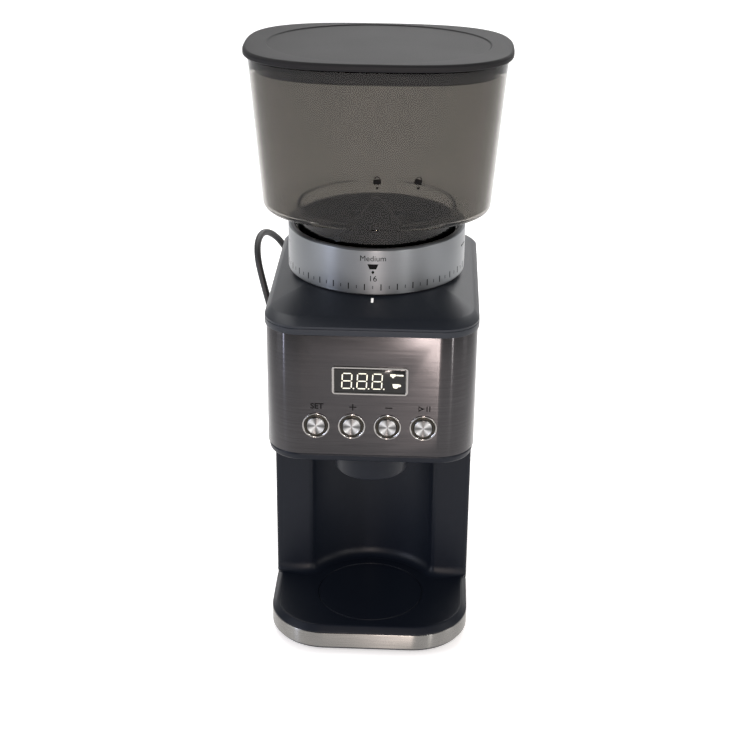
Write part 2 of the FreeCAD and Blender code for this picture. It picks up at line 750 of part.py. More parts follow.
def make_lid():
    """The lid, with a shallow oval step on top and a plug wall below, and the rubber seal round that wall."""
    low = float(s.hopper_top) + 0.4
    top = low + float(s.lid_thick)
    half_x, half_y = float(s.lid_half_x), float(s.lid_half_y)
    plate = lid_loft([(low, 0.6), (low + 0.8, 0), (top - 1.2, 0), (top - 0.4, 0.5), (top, 1.4)], half_x,
                     half_y,
                     LID_POWER)
    step = lid_loft([(top - 0.7, 0.5), (top + 1, 0)], half_x - 14.3, half_y - 5.7, 2.0)
    drop = float(s.seal_height)
    inner_x, inner_y = float(s.hopper_high_x - s.hopper_wall), float(s.hopper_high_y - s.hopper_wall)
    wall_x, wall_y = inner_x - 4.6, inner_y - 4.6
    wall = lid_loft([(low - drop + 1.5, 0), (low + 0.1, 0)], wall_x, wall_y, LID_POWER)
    hollow = lid_loft([(low - drop, 2), (low, 2)], wall_x, wall_y, LID_POWER)
    node("hopper_lid", formed(plate.cut(step).fuse(wall).cut(hollow)))
    seal = lid_loft([(low - drop, 0), (low - 0.5, 0)], inner_x - 1.2, inner_y - 1.2, LID_POWER)
    seat = lid_loft([(low - drop - 1, -0.1), (low, -0.1)], wall_x, wall_y, LID_POWER)
    node("lid_seal", formed(seal.cut(seat)))


# ---------------------------------------------------------------- burrs
RING_TOP = s.ring_burr_level + s.ring_burr_height
CONE_TOP = s.cone_burr_level + s.cone_burr_height


def star_wire(level, tip, root, count, turn):
    """A toothed outline round the grinding axis."""
    points = []
    for n in range(2 * count):
        radius = tip if n % 2 == 0 else root
        angle = math.pi * n / count + math.radians(turn)
        points.append(Vector(radius * math.cos(angle), radius * math.sin(angle) + float(s.grind_axis), level))
    return Part.makePolygon(points + points[:1])


def make_burrs():
    """The toothed steel ring burr and cone burr, with the bolt that holds the cone."""
    low, high = float(s.ring_burr_level), float(RING_TOP)
    blank = Part.makeCylinder(float(s.ring_burr_radius), high - low, Vector(0, float(s.grind_axis), low))
    mouth = Part.makeLoft([star_wire(low - 0.01, 19.0, 18.0, 30, 0),
                           star_wire(high + 0.01, 22.8, 21.2, 30, 12)],
                          True, True)
    node("ring_burr", formed(blank.cut(mouth)))
    base, peak = float(s.cone_burr_level), float(CONE_TOP)
    wide = float(s.cone_burr_radius)
    teeth = Part.makeLoft([star_wire(base, wide, wide - 1, 24, 0), star_wire(peak, 9.2, 7.6, 24, 25)], True,
                          True)
    hub = Part.makeCylinder(10, 7, Vector(0, float(s.grind_axis), base - 7))
    bore = Part.makeCylinder(float(s.shaft_radius + s.seat_gap), 60,
                             Vector(0, float(s.grind_axis), base - 20))
    node("cone_burr", formed(teeth.fuse(hub).cut(bore)))
    washer = cylinder(as_size(7), CONE_TOP + 0.1, CONE_TOP + 1.3)
    head = cylinder(as_size(5.2), CONE_TOP + 1.3, CONE_TOP + 4.5)
    node("burr_bolt", fuse(washer, head))


def make_carrier():
    """The threaded carrier that holds the ring burr and moves it up and down as the dial turns."""
    seat = s.ring_burr_radius + s.seat_gap
    outer = THREAD_RADIUS - 0.3
    low = s.ring_burr_level + 7
    rim = tube(outer, outer - 2.4, low, low + 13)
    web = tube(outer, seat, low + 1.5, low + 5)
    hub = tube(seat + 3.2, seat, s.ring_burr_level, RING_TOP)
    node("burr_carrier", fuse(rim, web, hub))


def make_chamber():
    """The bowl that catches the grounds, the impeller that sweeps them out, and the chute."""
    floor = s.chamber_floor
    outer = s.chamber_radius + s.chamber_wall
    bowl = cylinder(outer, floor - s.bearing_height, s.ring_burr_level + 5)
    hollow = cylinder(s.chamber_radius, floor, s.ring_burr_level + 6)
    seat = cylinder(s.bearing_radius + s.seat_gap, floor - s.bearing_height - 1, floor + 1)
    flange = tube(outer + 7, s.chamber_radius, s.ring_burr_level + 2, s.ring_burr_level + 5)
    window = box(-11, 11, s.grind_axis - outer - 8, s.grind_axis - 20, floor + 0.2, floor + 12)
    node("burr_chamber", cut(fuse(bowl, flange), hollow, seat, window))
    disc = cylinder(s.chamber_radius - 1, floor + 2, floor + 3.6)
    hub = cylinder(as_size(8), floor + 2, s.cone_burr_level - 7.1)
    vanes = []
    for n in range(6):
        vane = doc.addObject("Part::Box", "Vane")
        turn = Rotation(Vector(0, 0, 1), 60 * n)
        shift = turn.multVec(Vector(0, -0.8, 0))
        vane.Placement = Placement(Vector(), turn)
        vane.Width = 1.6
        bind(vane, Length=s.chamber_radius - 1.4, Height=6.5, x=shift.x, y=s.grind_axis + shift.y,
             z=floor + 3)
        vanes.append(vane)
    bore = cylinder(s.shaft_radius + s.seat_gap, floor, floor + 30)
    node("impeller", cut(fuse(disc, hub, *vanes), bore))
    back = s.grind_axis - outer - 0.1
    front = -s.spout_axis - 13
    duct = box(-14, 14, front, back, UNDERSIDE_TOP + 2.4, floor + 15)
    bore = box(-12, 12, front + 2, back - 2, UNDERSIDE_TOP + 1, floor + 13)
    mouth = box(-11, 11, back - 3, back + 1, floor + 0.4, floor + 12)
    clear = cylinder(outer + 0.1, floor - 20, floor + 30)
    node("grounds_chute", cut(duct, bore, mouth, clear))


SPOUT_RADIUS = as_size(25.5)


def make_spout():
    """The round outlet under the head, flanged above the underside and open all the way down."""
    low, high = s.head_bottom - 21, UNDERSIDE_TOP
    axis = -s.spout_axis
    skin = cone(SPOUT_RADIUS - 1, SPOUT_RADIUS, low, high + 0.05, 0, axis)
    flange = cylinder(SPOUT_RADIUS + 3, high + 0.05, high + 1.6, 0, axis)
    funnel = cone(SPOUT_RADIUS - 9, SPOUT_RADIUS - 3, low - 0.1, high + 2.3, 0, axis)
    node("spout", cut(fuse(skin, flange), funnel))


# ---------------------------------------------------------------- gear train and motor
MOTOR_REACH = s.gear_module * (s.pinion_teeth + s.wheel_teeth) / 2
BURR_REACH = s.gear_module * (s.small_teeth + s.drive_teeth) / 2


def idler_place():
    """The idler's axis, at its mesh distances from the motor's axis and the burr's."""
    apart = float(s.motor_axis - s.grind_axis)
    motor_side, burr_side = float(MOTOR_REACH), float(BURR_REACH)
    along = (motor_side**2 - burr_side**2 + apart**2) / (2 * apart)
    return math.sqrt(motor_side**2 - along**2), float(s.motor_axis) - along


def gear_shape(teeth, bottom, height, centre, bore, turn):
    """A spur gear: tooth flanks by formula, thinned for backlash, with a plain bore."""
    module = float(s.gear_module)
    pitch = module * teeth / 2
    tip, root = pitch + 0.9 * module, pitch - 1.15 * module
    slack = 0.1 / pitch
    step = 2 * math.pi / teeth
    points = []
    for n in range(teeth):
        middle = step * n + math.radians(turn)
        flank = [(root, 0.40), (pitch - 0.5 * module, 0.34), (pitch, 0.25), (pitch + 0.5 * module, 0.16),
                 (tip, 0.10)]
        left = [(r, middle - (step * w - slack)) for r, w in flank]
        right = [(r, middle + (step * w - slack)) for r, w in reversed(flank)]
        points += left + right
    places = [Vector(centre[0] + r * math.cos(a), centre[1] + r * math.sin(a), bottom) for r, a in points]
    face = Part.Face(Part.makePolygon(places + places[:1]))
    blank = face.extrude(Vector(0, 0, height))
    hole = Part.makeCylinder(bore, height + 2, Vector(centre[0], centre[1], bottom - 1))
    return blank.cut(hole)


def mesh_turn(teeth, own, other):
    """The turn, in degrees, that puts a gap between two teeth on the line to the other gear's axis."""
    towards = math.degrees(math.atan2(other[1] - own[1], other[0] - own[0]))
    return towards + 180 / teeth


def tooth_turn(own, other):
    """The turn, in degrees, that puts a tooth on the line to the other gear's axis."""
    return math.degrees(math.atan2(other[1] - own[1], other[0] - own[0]))


def make_gear_train():
    """The pinion, the two-step idler on its pin, and the drive gear on the burr shaft."""
    burr = (0.0, float(s.grind_axis))
    motor = (0.0, float(s.motor_axis))
    idler = idler_place()
    low = float(s.case_floor)
    pinion_teeth, wheel_teeth = int(float(s.pinion_teeth)), int(float(s.wheel_teeth))
    small_teeth, drive_teeth = int(float(s.small_teeth)), int(float(s.drive_teeth))
    pinion = gear_shape(pinion_teeth, low + 5, 17, motor, float(s.motor_shaft + s.seat_gap),
                        tooth_turn(motor, idler))
    node("motor_pinion", formed(pinion))
    pin_gap = 3 + float(s.running_gap)
    wheel = gear_shape(wheel_teeth, low + 6.5, 14, idler, pin_gap, mesh_turn(wheel_teeth, idler, motor))
    small = gear_shape(small_teeth, low + 20.5, 18, idler, pin_gap, tooth_turn(idler, burr))
    node("idler_gear", formed(wheel.fuse(small)))
    drive = gear_shape(drive_teeth, low + 22.5, 15, burr, float(s.shaft_radius + s.seat_gap),
                       mesh_turn(drive_teeth, burr, idler))
    node("drive_gear", formed(drive))
    pin = Part.makeCylinder(3, float(s.case_height) - 3, Vector(idler[0], idler[1], low + 2.6))
    node("idler_pin", formed(pin))


def make_gear_case():
    """The gear case, its cover and the shaft with its two bearings."""
    low, wall = s.case_floor, s.case_wall
    high = low + s.case_height
    big = s.gear_module * s.drive_teeth / 2 + 3
    reach = idler_place()
    wheel = float(s.gear_module * s.wheel_teeth / 2) + 2.5
    left, right = -big - wall, reach[0] + wheel + wall
    front, back = s.grind_axis - big - wall, s.motor_axis + 9 + wall
    block = box(left, right, front, back, low, high)
    hollow = box(left + wall, right - wall, front + wall, back - wall, low + wall, high + 1)
    motor_hole = cylinder(as_size(6), low - 1, low + wall + 1, 0, s.motor_axis)
    seat = cylinder(s.bearing_radius + 2, low, low + 6)
    bore = cylinder(s.bearing_radius - 2 + s.seat_gap, low - 1, low + 7)
    node("gear_case", cut(fuse(cut(block, hollow), seat), motor_hole, bore))
    cover = box(left, right, front, back, high + s.seat_gap, high + 3)
    shaft_hole = cylinder(s.shaft_radius + 1, high - 1, high + 4)
    node("gear_cover", cut(cover, shaft_hole))
    node("lower_bearing", tube(s.bearing_radius - 2, s.shaft_radius + s.running_gap, low + 0.5, low + 6))
    floor = s.chamber_floor
    node("upper_bearing",
         tube(s.bearing_radius, s.shaft_radius + s.running_gap, floor - s.bearing_height, floor))
    node("drive_shaft", cylinder(s.shaft_radius, low + 0.5, CONE_TOP))


def make_motor():
    """The upright direct-current motor: can, magnets and rotor."""
    low, high = s.motor_bottom, s.case_floor - 0.1
    y = s.motor_axis
    can = cylinder(s.motor_radius, low, high, 0, y)
    hollow = cylinder(s.motor_radius - s.motor_wall, low + 3, high - 3, 0, y)
    bore = cylinder(s.motor_shaft + s.running_gap, low - 1, high + 1, 0, y)
    node("motor_can", cut(can, hollow, bore))
    shells = tube(s.motor_radius - s.motor_wall - 0.1, s.motor_radius - s.motor_wall - 7, low + 14,
                  high - 14, 0, y)
    split = box(-6, 6, y - s.motor_radius, y + s.motor_radius, low, high)
    node("motor_magnets", cut(shells, split))
    shaft = cylinder(s.motor_shaft, low + 0.3, s.case_floor + 22, 0, y)
    core = cylinder(s.motor_radius - s.motor_wall - 8, low + 20, high - 20, 0, y)
    commutator = cylinder(as_size(9), low + 7, low + 16, 0, y)
    node("motor_rotor", fuse(shaft, core, commutator))


def make_electrics():
    """The power board under the motor, and the switch that senses the locked hopper."""
    low = s.deck_top + 3
    board = box(-40, 40, 14, 82, low, low + 1.6)
    posts = [cylinder(as_size(2.5), s.deck_top, low, x, y) for x in (-35, 35) for y in (18, 78)]
    choke = cylinder(as_size(9), low + 1.6, low + 14, -25, 30)
    relay = box(8, 28, 60, 76, low + 1.6, low + 13)
    node("power_board", fuse(board, *posts, choke, relay))
    node("lock_switch", box(-58, -52, 52, 72, PANEL_TOP - 13, PANEL_TOP - 3))


# ---------------------------------------------------------------- mains lead
GLAND_X, GLAND_Z = as_size(-38.0), as_size(165.0)
GLAND_RADIUS = as_size(5.5)
GLAND_LENGTH = 21.0
COIL_MIDDLE = Vector(-6, 172, 0)
COIL_TURN_RADIUS = 27.5
COIL_OUTER = COIL_TURN_RADIUS + 1.5 * float(s.cord_diameter) + 0.3
COIL_INNER = COIL_TURN_RADIUS - 1.5 * float(s.cord_diameter) - 0.3
COIL_LOW, COIL_HIGH = 0.2, 11.0
CORD_ROUTE = [
    (-38, 114.5, 165), (-38, 129, 165), (-44, 142.5, 166), (-54.5, 152, 171), (-66, 158.5, 181),
    (-74, 161, 195), (-82.7, 156.7, 209.5), (-90.3, 142.9, 218.6), (-93.8, 125.1, 218), (-92.5, 110.5, 208),
    (-87.5, 104, 190.5), (-82, 102.5, 169), (-76, 103, 142), (-70, 105, 110), (-65, 108.5, 76),
    (-61.5, 112.5, 46), (-58.5, 118, 25), (-53.5, 125, 11.5), (-47.5, 134.5, 4.6), (-42, 146, 2.9),
    (-39, 158.5, 2.9), (-38.5, 171, 2.9),
]


def cord_path(points):
    """Straight runs joined by tangent arcs, each as large as its two runs allow, and every arc's radius."""
    corners = [Vector(*p) for p in points]
    edges, radii, start = [], [], corners[0]
    for before, corner, after in zip(corners, corners[1:], corners[2:]):
        back, ahead = (before - corner), (after - corner)
        trim = 0.45 * min(back.Length, ahead.Length)
        turn = math.pi - back.getAngle(ahead)
        radii.append(trim / math.tan(turn / 2))
        enter = corner + back.normalize() * trim
        leave = corner + ahead.normalize() * trim
        bisector = (back + ahead).normalize()
        depth = radii[-1] / math.cos(turn / 2) - radii[-1]
        middle = corner + bisector * depth
        edges.append(Part.LineSegment(start, enter).toShape())
        edges.append(Part.Arc(enter, middle, leave).toShape())
        start = leave
    edges.append(Part.LineSegment(start, corners[-1]).toShape())
    return Part.Wire(edges), radii


def make_cord():
    """The strain relief, the free lead, its coil on the surface behind the grinder, and the plug."""
    wall = float(s.body_back)
    x, z = float(GLAND_X), float(GLAND_Z)
    collar = Part.makeCylinder(float(GLAND_RADIUS), float(s.shell_wall) + 4,
                               Vector(x, wall - float(s.shell_wall) - 4, z),
                               Vector(0, 1, 0))
    sleeve = Part.makeCone(5.0, 3.4, GLAND_LENGTH, Vector(x, wall, z), Vector(0, 1, 0))
    node("strain_relief", formed(collar.fuse(sleeve)))
    radius = float(s.cord_diameter) / 2
    wire, radii = cord_path(CORD_ROUTE)
    first = wire.Edges[0]
    section = Part.Wire([Part.makeCircle(radius, first.valueAt(first.FirstParameter),
                                         first.tangentAt(first.FirstParameter))])
    lead = wire.makePipeShell([section], True, False)
    print("cord radii", [round(r) for r in radii], "length", round(wire.Length, 1))
    print("cord volume", round(lead.Volume), "section times length", round(math.pi * radius**2 * wire.Length))
    height = COIL_HIGH - COIL_LOW
    ring = Part.makeCylinder(COIL_OUTER, height, COIL_MIDDLE + Vector(0, 0, COIL_LOW))
    hole = Part.makeCylinder(COIL_INNER, height, COIL_MIDDLE + Vector(0, 0, COIL_LOW))
    coil = ring.cut(hole)
    coil = coil.makeFillet(2.2, [e for e in coil.Edges if e.Closed])
    node("power_cord", formed(lead.cut(coil)))
    node("cord_coil", formed(coil))
    last_turn = COIL_TURN_RADIUS + float(s.cord_diameter)
    y = COIL_MIDDLE.y + last_turn
    level = COIL_HIGH - float(s.cord_diameter) / 2 - 1
    start = COIL_MIDDLE.x + math.sqrt(COIL_OUTER**2 - last_turn**2)
    tail = Part.makeCone(3.0, 5.6, 13, Vector(start, y, level), Vector(1, 0, 0))
    grip = Part.makeBox(24, 15, 13.5, Vector(start + 12, y - 7.5, 0.4))
    grip = grip.makeFillet(3, grip.Edges)
    node("plug_body", formed(tail.fuse(grip).cut(coil)))
    pins = [Part.makeCylinder(2, 19, Vector(start + 36, y + side * 4.75, level),
                              Vector(1, 0, 0)) for side in (-1, 1)]
    made = doc.addObject("Part::Compound", "Pins")
    made.Links = [formed(pin) for pin in pins]
    node("plug_pins", made)


def build():
    """Makes every piece."""
    make_feet()
    make_bottom_cover()
    make_base_screws()
    make_base_tray()
    make_base_trim()
    make_base_deck()
    make_rear_housing()
    make_column_front()
    make_head_underside()
    make_panel()
    make_display()
    make_buttons()
    make_control_board()
    make_top_cover()
    make_dial()
    make_hopper()
    make_lock_ring()
    make_hopper_guard()
    make_lid()
    make_burrs()
    make_carrier()
    make_chamber()
    make_spout()
    make_gear_train()
    make_gear_case()
    make_motor()
    make_electrics()
    make_cord()


def check_and_write():
    """Recomputes the document, stops on any failed object or shape, and writes one file for each piece."""
    doc.recompute()
    failed = [thing.Label for thing in doc.Objects if {"Invalid", "Error"} & set(thing.State)]
    if failed:
        raise RuntimeError(f"failed objects: {failed}")
    for name, thing in nodes.items():
        shape = thing.Shape
        if shape.isNull() or not shape.isValid() or not shape.Solids:
            raise RuntimeError(f"{name} has no valid solid")
    for name, thing in nodes.items():
        thing.Shape.exportStep(f"parts/{name}.step")
    print(len(nodes), "pieces")


build()
check_and_write()
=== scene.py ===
"""The looks of a burr coffee grinder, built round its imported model.

Sizes are in millimetres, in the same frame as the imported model: +X to the right, +Y to the back and +Z up,
with the origin at the middle of the footprint. Meshes are written in metres.
"""

import json
import logging
import math
from dataclasses import dataclass
from enum import Enum
from typing import Callable, Sequence

import bmesh
import bpy
import numpy as np
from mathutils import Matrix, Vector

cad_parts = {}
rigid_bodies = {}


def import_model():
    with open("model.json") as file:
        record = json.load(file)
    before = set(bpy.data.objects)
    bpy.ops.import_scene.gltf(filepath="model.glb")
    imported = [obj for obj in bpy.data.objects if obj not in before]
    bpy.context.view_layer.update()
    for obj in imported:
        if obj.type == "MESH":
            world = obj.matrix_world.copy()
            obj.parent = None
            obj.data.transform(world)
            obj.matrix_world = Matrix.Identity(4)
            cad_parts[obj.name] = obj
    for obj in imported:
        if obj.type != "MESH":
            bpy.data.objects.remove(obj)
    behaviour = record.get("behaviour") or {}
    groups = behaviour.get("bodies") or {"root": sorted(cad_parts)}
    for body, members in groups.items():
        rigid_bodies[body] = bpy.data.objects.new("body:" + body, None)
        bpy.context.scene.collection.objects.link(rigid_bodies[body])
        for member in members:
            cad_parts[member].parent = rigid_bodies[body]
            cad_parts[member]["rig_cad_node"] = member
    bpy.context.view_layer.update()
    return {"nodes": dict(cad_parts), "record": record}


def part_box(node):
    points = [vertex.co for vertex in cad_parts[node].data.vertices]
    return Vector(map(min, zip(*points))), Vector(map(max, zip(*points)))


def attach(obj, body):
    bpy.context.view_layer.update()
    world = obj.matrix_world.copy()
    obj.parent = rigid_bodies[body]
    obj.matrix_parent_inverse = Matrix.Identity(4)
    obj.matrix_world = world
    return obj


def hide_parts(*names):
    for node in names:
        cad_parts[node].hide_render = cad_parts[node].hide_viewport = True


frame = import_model()

MM = 0.001
WAVE_UNIT = 20.0
AXIS_Y = 3.5
NOISE_SPAN = (0.4, 0.95)
BROAD_SCALE = 18.0
BROAD_SHARE = 0.35
SENSOR_WIDTH = 36.0
Array = np.ndarray
Colour = tuple[float, float, float]
log = logging.getLogger("grinder")


class Facing(Enum):
    """Which way a carried or turned shape's height runs."""

    UP = "up"
    BACK = "back"


# ---------------------------------------------------------------- finishes


@dataclass(frozen=True)
class Finish:
    """A surface with a fine pattern in its colour, its roughness and its relief.

    The pattern is noise on Object coordinates, stretched by `stretch`, so a brushed metal has long thin
    streaks and a moulded plastic an even grain.
    """

    name: str
    colour: Colour
    roughness: float
    metallic: float = 0.0
    grain: float = 2600.0
    stretch: tuple[float, float, float] = (1.0, 1.0, 1.0)
    relief: float = 0.06
    relief_depth: float = 0.02
    rough_spread: float = 0.06
    colour_spread: float = 0.10
    anisotropy: float = 0.0
    specular: float = 0.5
    glow: float = 0.0

    def build(self) -> bpy.types.Material:
        """Makes the material.

        Returns:
            The material with its node tree.
        """
        material = bpy.data.materials.new(self.name)
        material.use_nodes = True
        nodes, links = material.node_tree.nodes, material.node_tree.links
        shader = nodes["Principled BSDF"]
        place = nodes.new("ShaderNodeTexCoord")
        mapping = nodes.new("ShaderNodeMapping")
        mapping.inputs["Scale"].default_value = [self.grain * s for s in self.stretch]
        fine = nodes.new("ShaderNodeTexNoise")
        fine.inputs["Scale"].default_value = 1.0
        fine.inputs["Detail"].default_value = 3.0
        links.new(place.outputs["Object"], mapping.inputs["Vector"])
        links.new(mapping.outputs["Vector"], fine.inputs["Vector"])
        broad = nodes.new("ShaderNodeTexNoise")
        broad.inputs["Scale"].default_value = BROAD_SCALE
        broad.inputs["Detail"].default_value = 2.0
        links.new(place.outputs["Object"], broad.inputs["Vector"])
        both = nodes.new("ShaderNodeMath")
        both.operation = "MULTIPLY_ADD"
        both.inputs[1].default_value = BROAD_SHARE
        links.new(broad.outputs["Fac"], both.inputs[0])
        links.new(fine.outputs["Fac"], both.inputs[2])
        rough = ranged(material, both.outputs[0], max(0.0, self.roughness - self.rough_spread),
                       self.roughness + self.rough_spread)
        links.new(rough, shader.inputs["Roughness"])
        tint = nodes.new("ShaderNodeMix")
        tint.data_type = "RGBA"
        tint.inputs["A"].default_value = (*[c * (1 - self.colour_spread) for c in self.colour], 1)
        tint.inputs["B"].default_value = (*[min(1.0, c * (1 + self.colour_spread)) for c in self.colour], 1)
        links.new(ranged(material, both.outputs[0]), tint.inputs["Factor"])
        links.new(tint.outputs["Result"], shader.inputs["Base Color"])
        bump = nodes.new("ShaderNodeBump")
        bump.inputs["Strength"].default_value = self.relief
        bump.inputs["Distance"].default_value = self.relief_depth * MM
        links.new(fine.outputs["Fac"], bump.inputs["Height"])
        links.new(bump.outputs["Normal"], shader.inputs["Normal"])
        shader.inputs["Metallic"].default_value = self.metallic
        shader.inputs["Specular IOR Level"].default_value = self.specular
        if self.anisotropy:
            shader.inputs["Anisotropic"].default_value = self.anisotropy
            shader.inputs["Anisotropic Rotation"].default_value = ACROSS_BRUSH
            links.new(self.tangent(nodes), shader.inputs["Tangent"])
        if self.glow:
            shader.inputs["Emission Color"].default_value = (*self.colour, 1)
            shader.inputs["Emission Strength"].default_value = self.glow
        return material

    def tangent(self, nodes: bpy.types.Nodes) -> bpy.types.NodeSocket:
        """The brush's direction: level, round the upright axis.

        Args:
            nodes: The material's nodes, which the new node joins.

        Returns:
            The socket that gives the direction.
        """
        node = nodes.new("ShaderNodeTangent")
        node.direction_type = "RADIAL"
        node.axis = "Z"
        return node.outputs["Tangent"]


def ranged(material: bpy.types.Material, value: bpy.types.NodeSocket, low: float = 0.0,
           high: float = 1.0) -> bpy.types.NodeSocket:
    """Stretches a noise value to run between two limits.

    Args:
        material: The material that the node is added to.
        value: The noise value, mostly inside NOISE_SPAN.
        low: What the bottom of the span becomes.
        high: What its top becomes.

    Returns:
        The stretched value.
    """
    node = material.node_tree.nodes.new("ShaderNodeMapRange")
    limits = {"From Min": NOISE_SPAN[0], "From Max": NOISE_SPAN[1], "To Min": low, "To Max": high}
    for limit, number in limits.items():
        node.inputs[limit].default_value = number
    material.node_tree.links.new(value, node.inputs["Value"])
    return node.outputs["Result"]


@dataclass(frozen=True)
class SpunMetal(Finish):
    """Metal turned on a lathe: fine grooves run round each key, and painted highlights make its colour
    brighten and darken in soft sectors.

    The painted highlight sectors are a sine of the angle, which is the first axis of the piece's own UV map;
    they stand in for the bright and dark reflections that spun metal shows.
    """

    sectors: int = 4

    def build(self) -> bpy.types.Material:
        """Makes the material.

        Returns:
            The material with its node tree.
        """
        material = super().build()
        nodes, links = material.node_tree.nodes, material.node_tree.links
        angle = nodes.new("ShaderNodeUVMap")
        angle.uv_map = UV_NAME
        wave = nodes.new("ShaderNodeTexWave")
        wave.inputs["Scale"].default_value = self.sectors * 2 * math.pi / WAVE_UNIT
        links.new(angle.outputs["UV"], wave.inputs["Vector"])
        # painted highlight: the base colour swings from 0.35 to 1.9 times the metal's colour in sectors round
        # each key, standing in for its reflections
        painted_highlight_sectors = nodes.new("ShaderNodeMix")
        painted_highlight_sectors.data_type = "RGBA"
        painted_highlight_sectors.inputs["A"].default_value = (*[c * 0.35 for c in self.colour], 1)
        painted_highlight_sectors.inputs["B"].default_value = (*[min(1.0, c * 1.9) for c in self.colour], 1)
        links.new(wave.outputs["Fac"], painted_highlight_sectors.inputs["Factor"])
        links.new(painted_highlight_sectors.outputs["Result"], nodes["Principled BSDF"].inputs["Base Color"])
        return material

    def tangent(self, nodes: bpy.types.Nodes) -> bpy.types.NodeSocket:
        """The brush's direction, round the key.

        Args:
            nodes: The material's nodes, which the new node joins.

        Returns:
            The socket that gives the direction.
        """
        node = nodes.new("ShaderNodeTangent")
        node.direction_type = "UV_MAP"
        node.uv_map = UV_NAME
        return node.outputs["Tangent"]


@dataclass(frozen=True)
class ClearPlastic(Finish):
    """Tinted clear plastic: its colour is what one wall lets through, and light bends a little in it."""

    index: float = 1.32

    def build(self) -> bpy.types.Material:
        """Makes the material.

        Returns:
            The material with its node tree.
        """
        material = super().build()
        shader = material.node_tree.nodes["Principled BSDF"]
        shader.inputs["Transmission Weight"].default_value = 1.0
        shader.inputs["IOR"].default_value = self.index
        return material


LEVEL_BRUSH = (0.006, 0.006, 1.0)
ACROSS_BRUSH = 0.25
FINISHES = {
    "black_plastic": Finish("moulded_black", (0.0042, 0.0060, 0.0105), 0.40, specular=0.17),
    "dark_cover": Finish("cover_paint", (0.014, 0.017, 0.023), 0.36, metallic=0.12, specular=0.28),
    "brushed_steel": Finish("brushed_steel", (0.235, 0.230, 0.218), 0.27, metallic=1.0, grain=5200,
                            stretch=LEVEL_BRUSH, relief=0.08, rough_spread=0.05, colour_spread=0.16,
                            anisotropy=1.0),
    "satin_aluminium": Finish("satin_aluminium", (0.175, 0.183, 0.192), 0.36, metallic=1.0, grain=4200,
                              stretch=LEVEL_BRUSH, relief=0.05, colour_spread=0.05, anisotropy=0.6),
    "chrome_trim": Finish("polished_chrome", (0.30, 0.29, 0.28), 0.18, metallic=1.0, relief=0.01,
                          rough_spread=0.03, colour_spread=0.03),
    # spun_cap carries painted highlights: its colour brightens and darkens in sectors round each key
    "spun_cap": SpunMetal("spun_cap", (0.30, 0.30, 0.30), 0.34, metallic=1.0, grain=3000, relief=0.03,
                          rough_spread=0.04, colour_spread=0.05, anisotropy=1.0),
    "smoked_plastic": ClearPlastic("smoked_plastic", (0.245, 0.232, 0.212), 0.0, relief=0.0, rough_spread=0.0,
                                   colour_spread=0.02),
    "lid_plastic": Finish("lid_charcoal", (0.013, 0.013, 0.014), 0.50, specular=0.08),
    "rubber_black": Finish("seal_rubber", (0.003, 0.003, 0.0035), 0.55, grain=1800, relief=0.10,
                           specular=0.2),
    "black_glass": Finish("display_glass", (0.003, 0.003, 0.003), 0.08, relief=0.0, rough_spread=0.02,
                          specular=0.35),
    "display_dark": Finish("module_black", (0.01, 0.01, 0.01), 0.5),
    "circuit_board": Finish("solder_mask", (0.01, 0.10, 0.03), 0.30, grain=900, colour_spread=0.3),
    "burr_steel": Finish("burr_steel", (0.40, 0.40, 0.41), 0.28, metallic=1.0, grain=3000, rough_spread=0.10),
    "gear_plastic": Finish("acetal", (0.72, 0.70, 0.64), 0.45, colour_spread=0.04),
    "zinc_steel": Finish("zinc_steel", (0.56, 0.56, 0.58), 0.32, metallic=1.0, rough_spread=0.10),
    "motor_steel": Finish("motor_iron", (0.22, 0.22, 0.23), 0.45, metallic=0.9, grain=700, rough_spread=0.14),
    "plug_metal": Finish("nickel_brass", (0.66, 0.62, 0.52), 0.22, metallic=1.0, rough_spread=0.05),
    "cord_black": Finish("lead_black", (0.008, 0.008, 0.009), 0.48, grain=1500, relief=0.12),
}
MARKS = {
    # panel_steel is a much darker copy of brushed_steel for the front panel: its darkness is painted shade,
    # standing in for the dark reflections of the flat panel
    "panel_steel": Finish("panel_steel", (0.052, 0.050, 0.052), 0.20, metallic=1.0, grain=5200,
                          stretch=LEVEL_BRUSH, relief=0.10, rough_spread=0.05, colour_spread=0.30,
                          anisotropy=1.0),
    "ink": Finish("printed_ink", (0.003, 0.003, 0.003), 0.6, relief=0.0, specular=0.06),
    # white_mark glows though it is only print: painted light that keeps the index mark bright
    "white_mark": Finish("white_mark", (0.85, 0.86, 0.84), 0.4, relief=0.0, colour_spread=0.02, glow=0.25),
    "lit": Finish("lit_segments", (0.72, 0.70, 0.58), 0.4, relief=0.0, colour_spread=0.02, glow=0.42),
    "ring_dark": Finish("key_ring", (0.025, 0.022, 0.016), 0.30, metallic=0.6, rough_spread=0.05),
}


class Paintbox:
    """The built materials, one for each material slot of the record and one for each mark."""

    def __init__(self) -> None:
        """Builds every material."""
        self.made = {slot: finish.build() for slot, finish in {**FINISHES, **MARKS}.items()}

    def dress(self, piece: bpy.types.Object, slot: str, finish: str | None = None) -> None:
        """Gives a piece its material.

        Args:
            piece: The object to dress.
            slot: The record's material slot that it takes its finish from.
            finish: Another of the built materials, where the piece's look differs from its slot's.
        """
        piece.data.materials.clear()
        piece.data.materials.append(self.made[finish or slot])


# ---------------------------------------------------------------- outlines and profiles


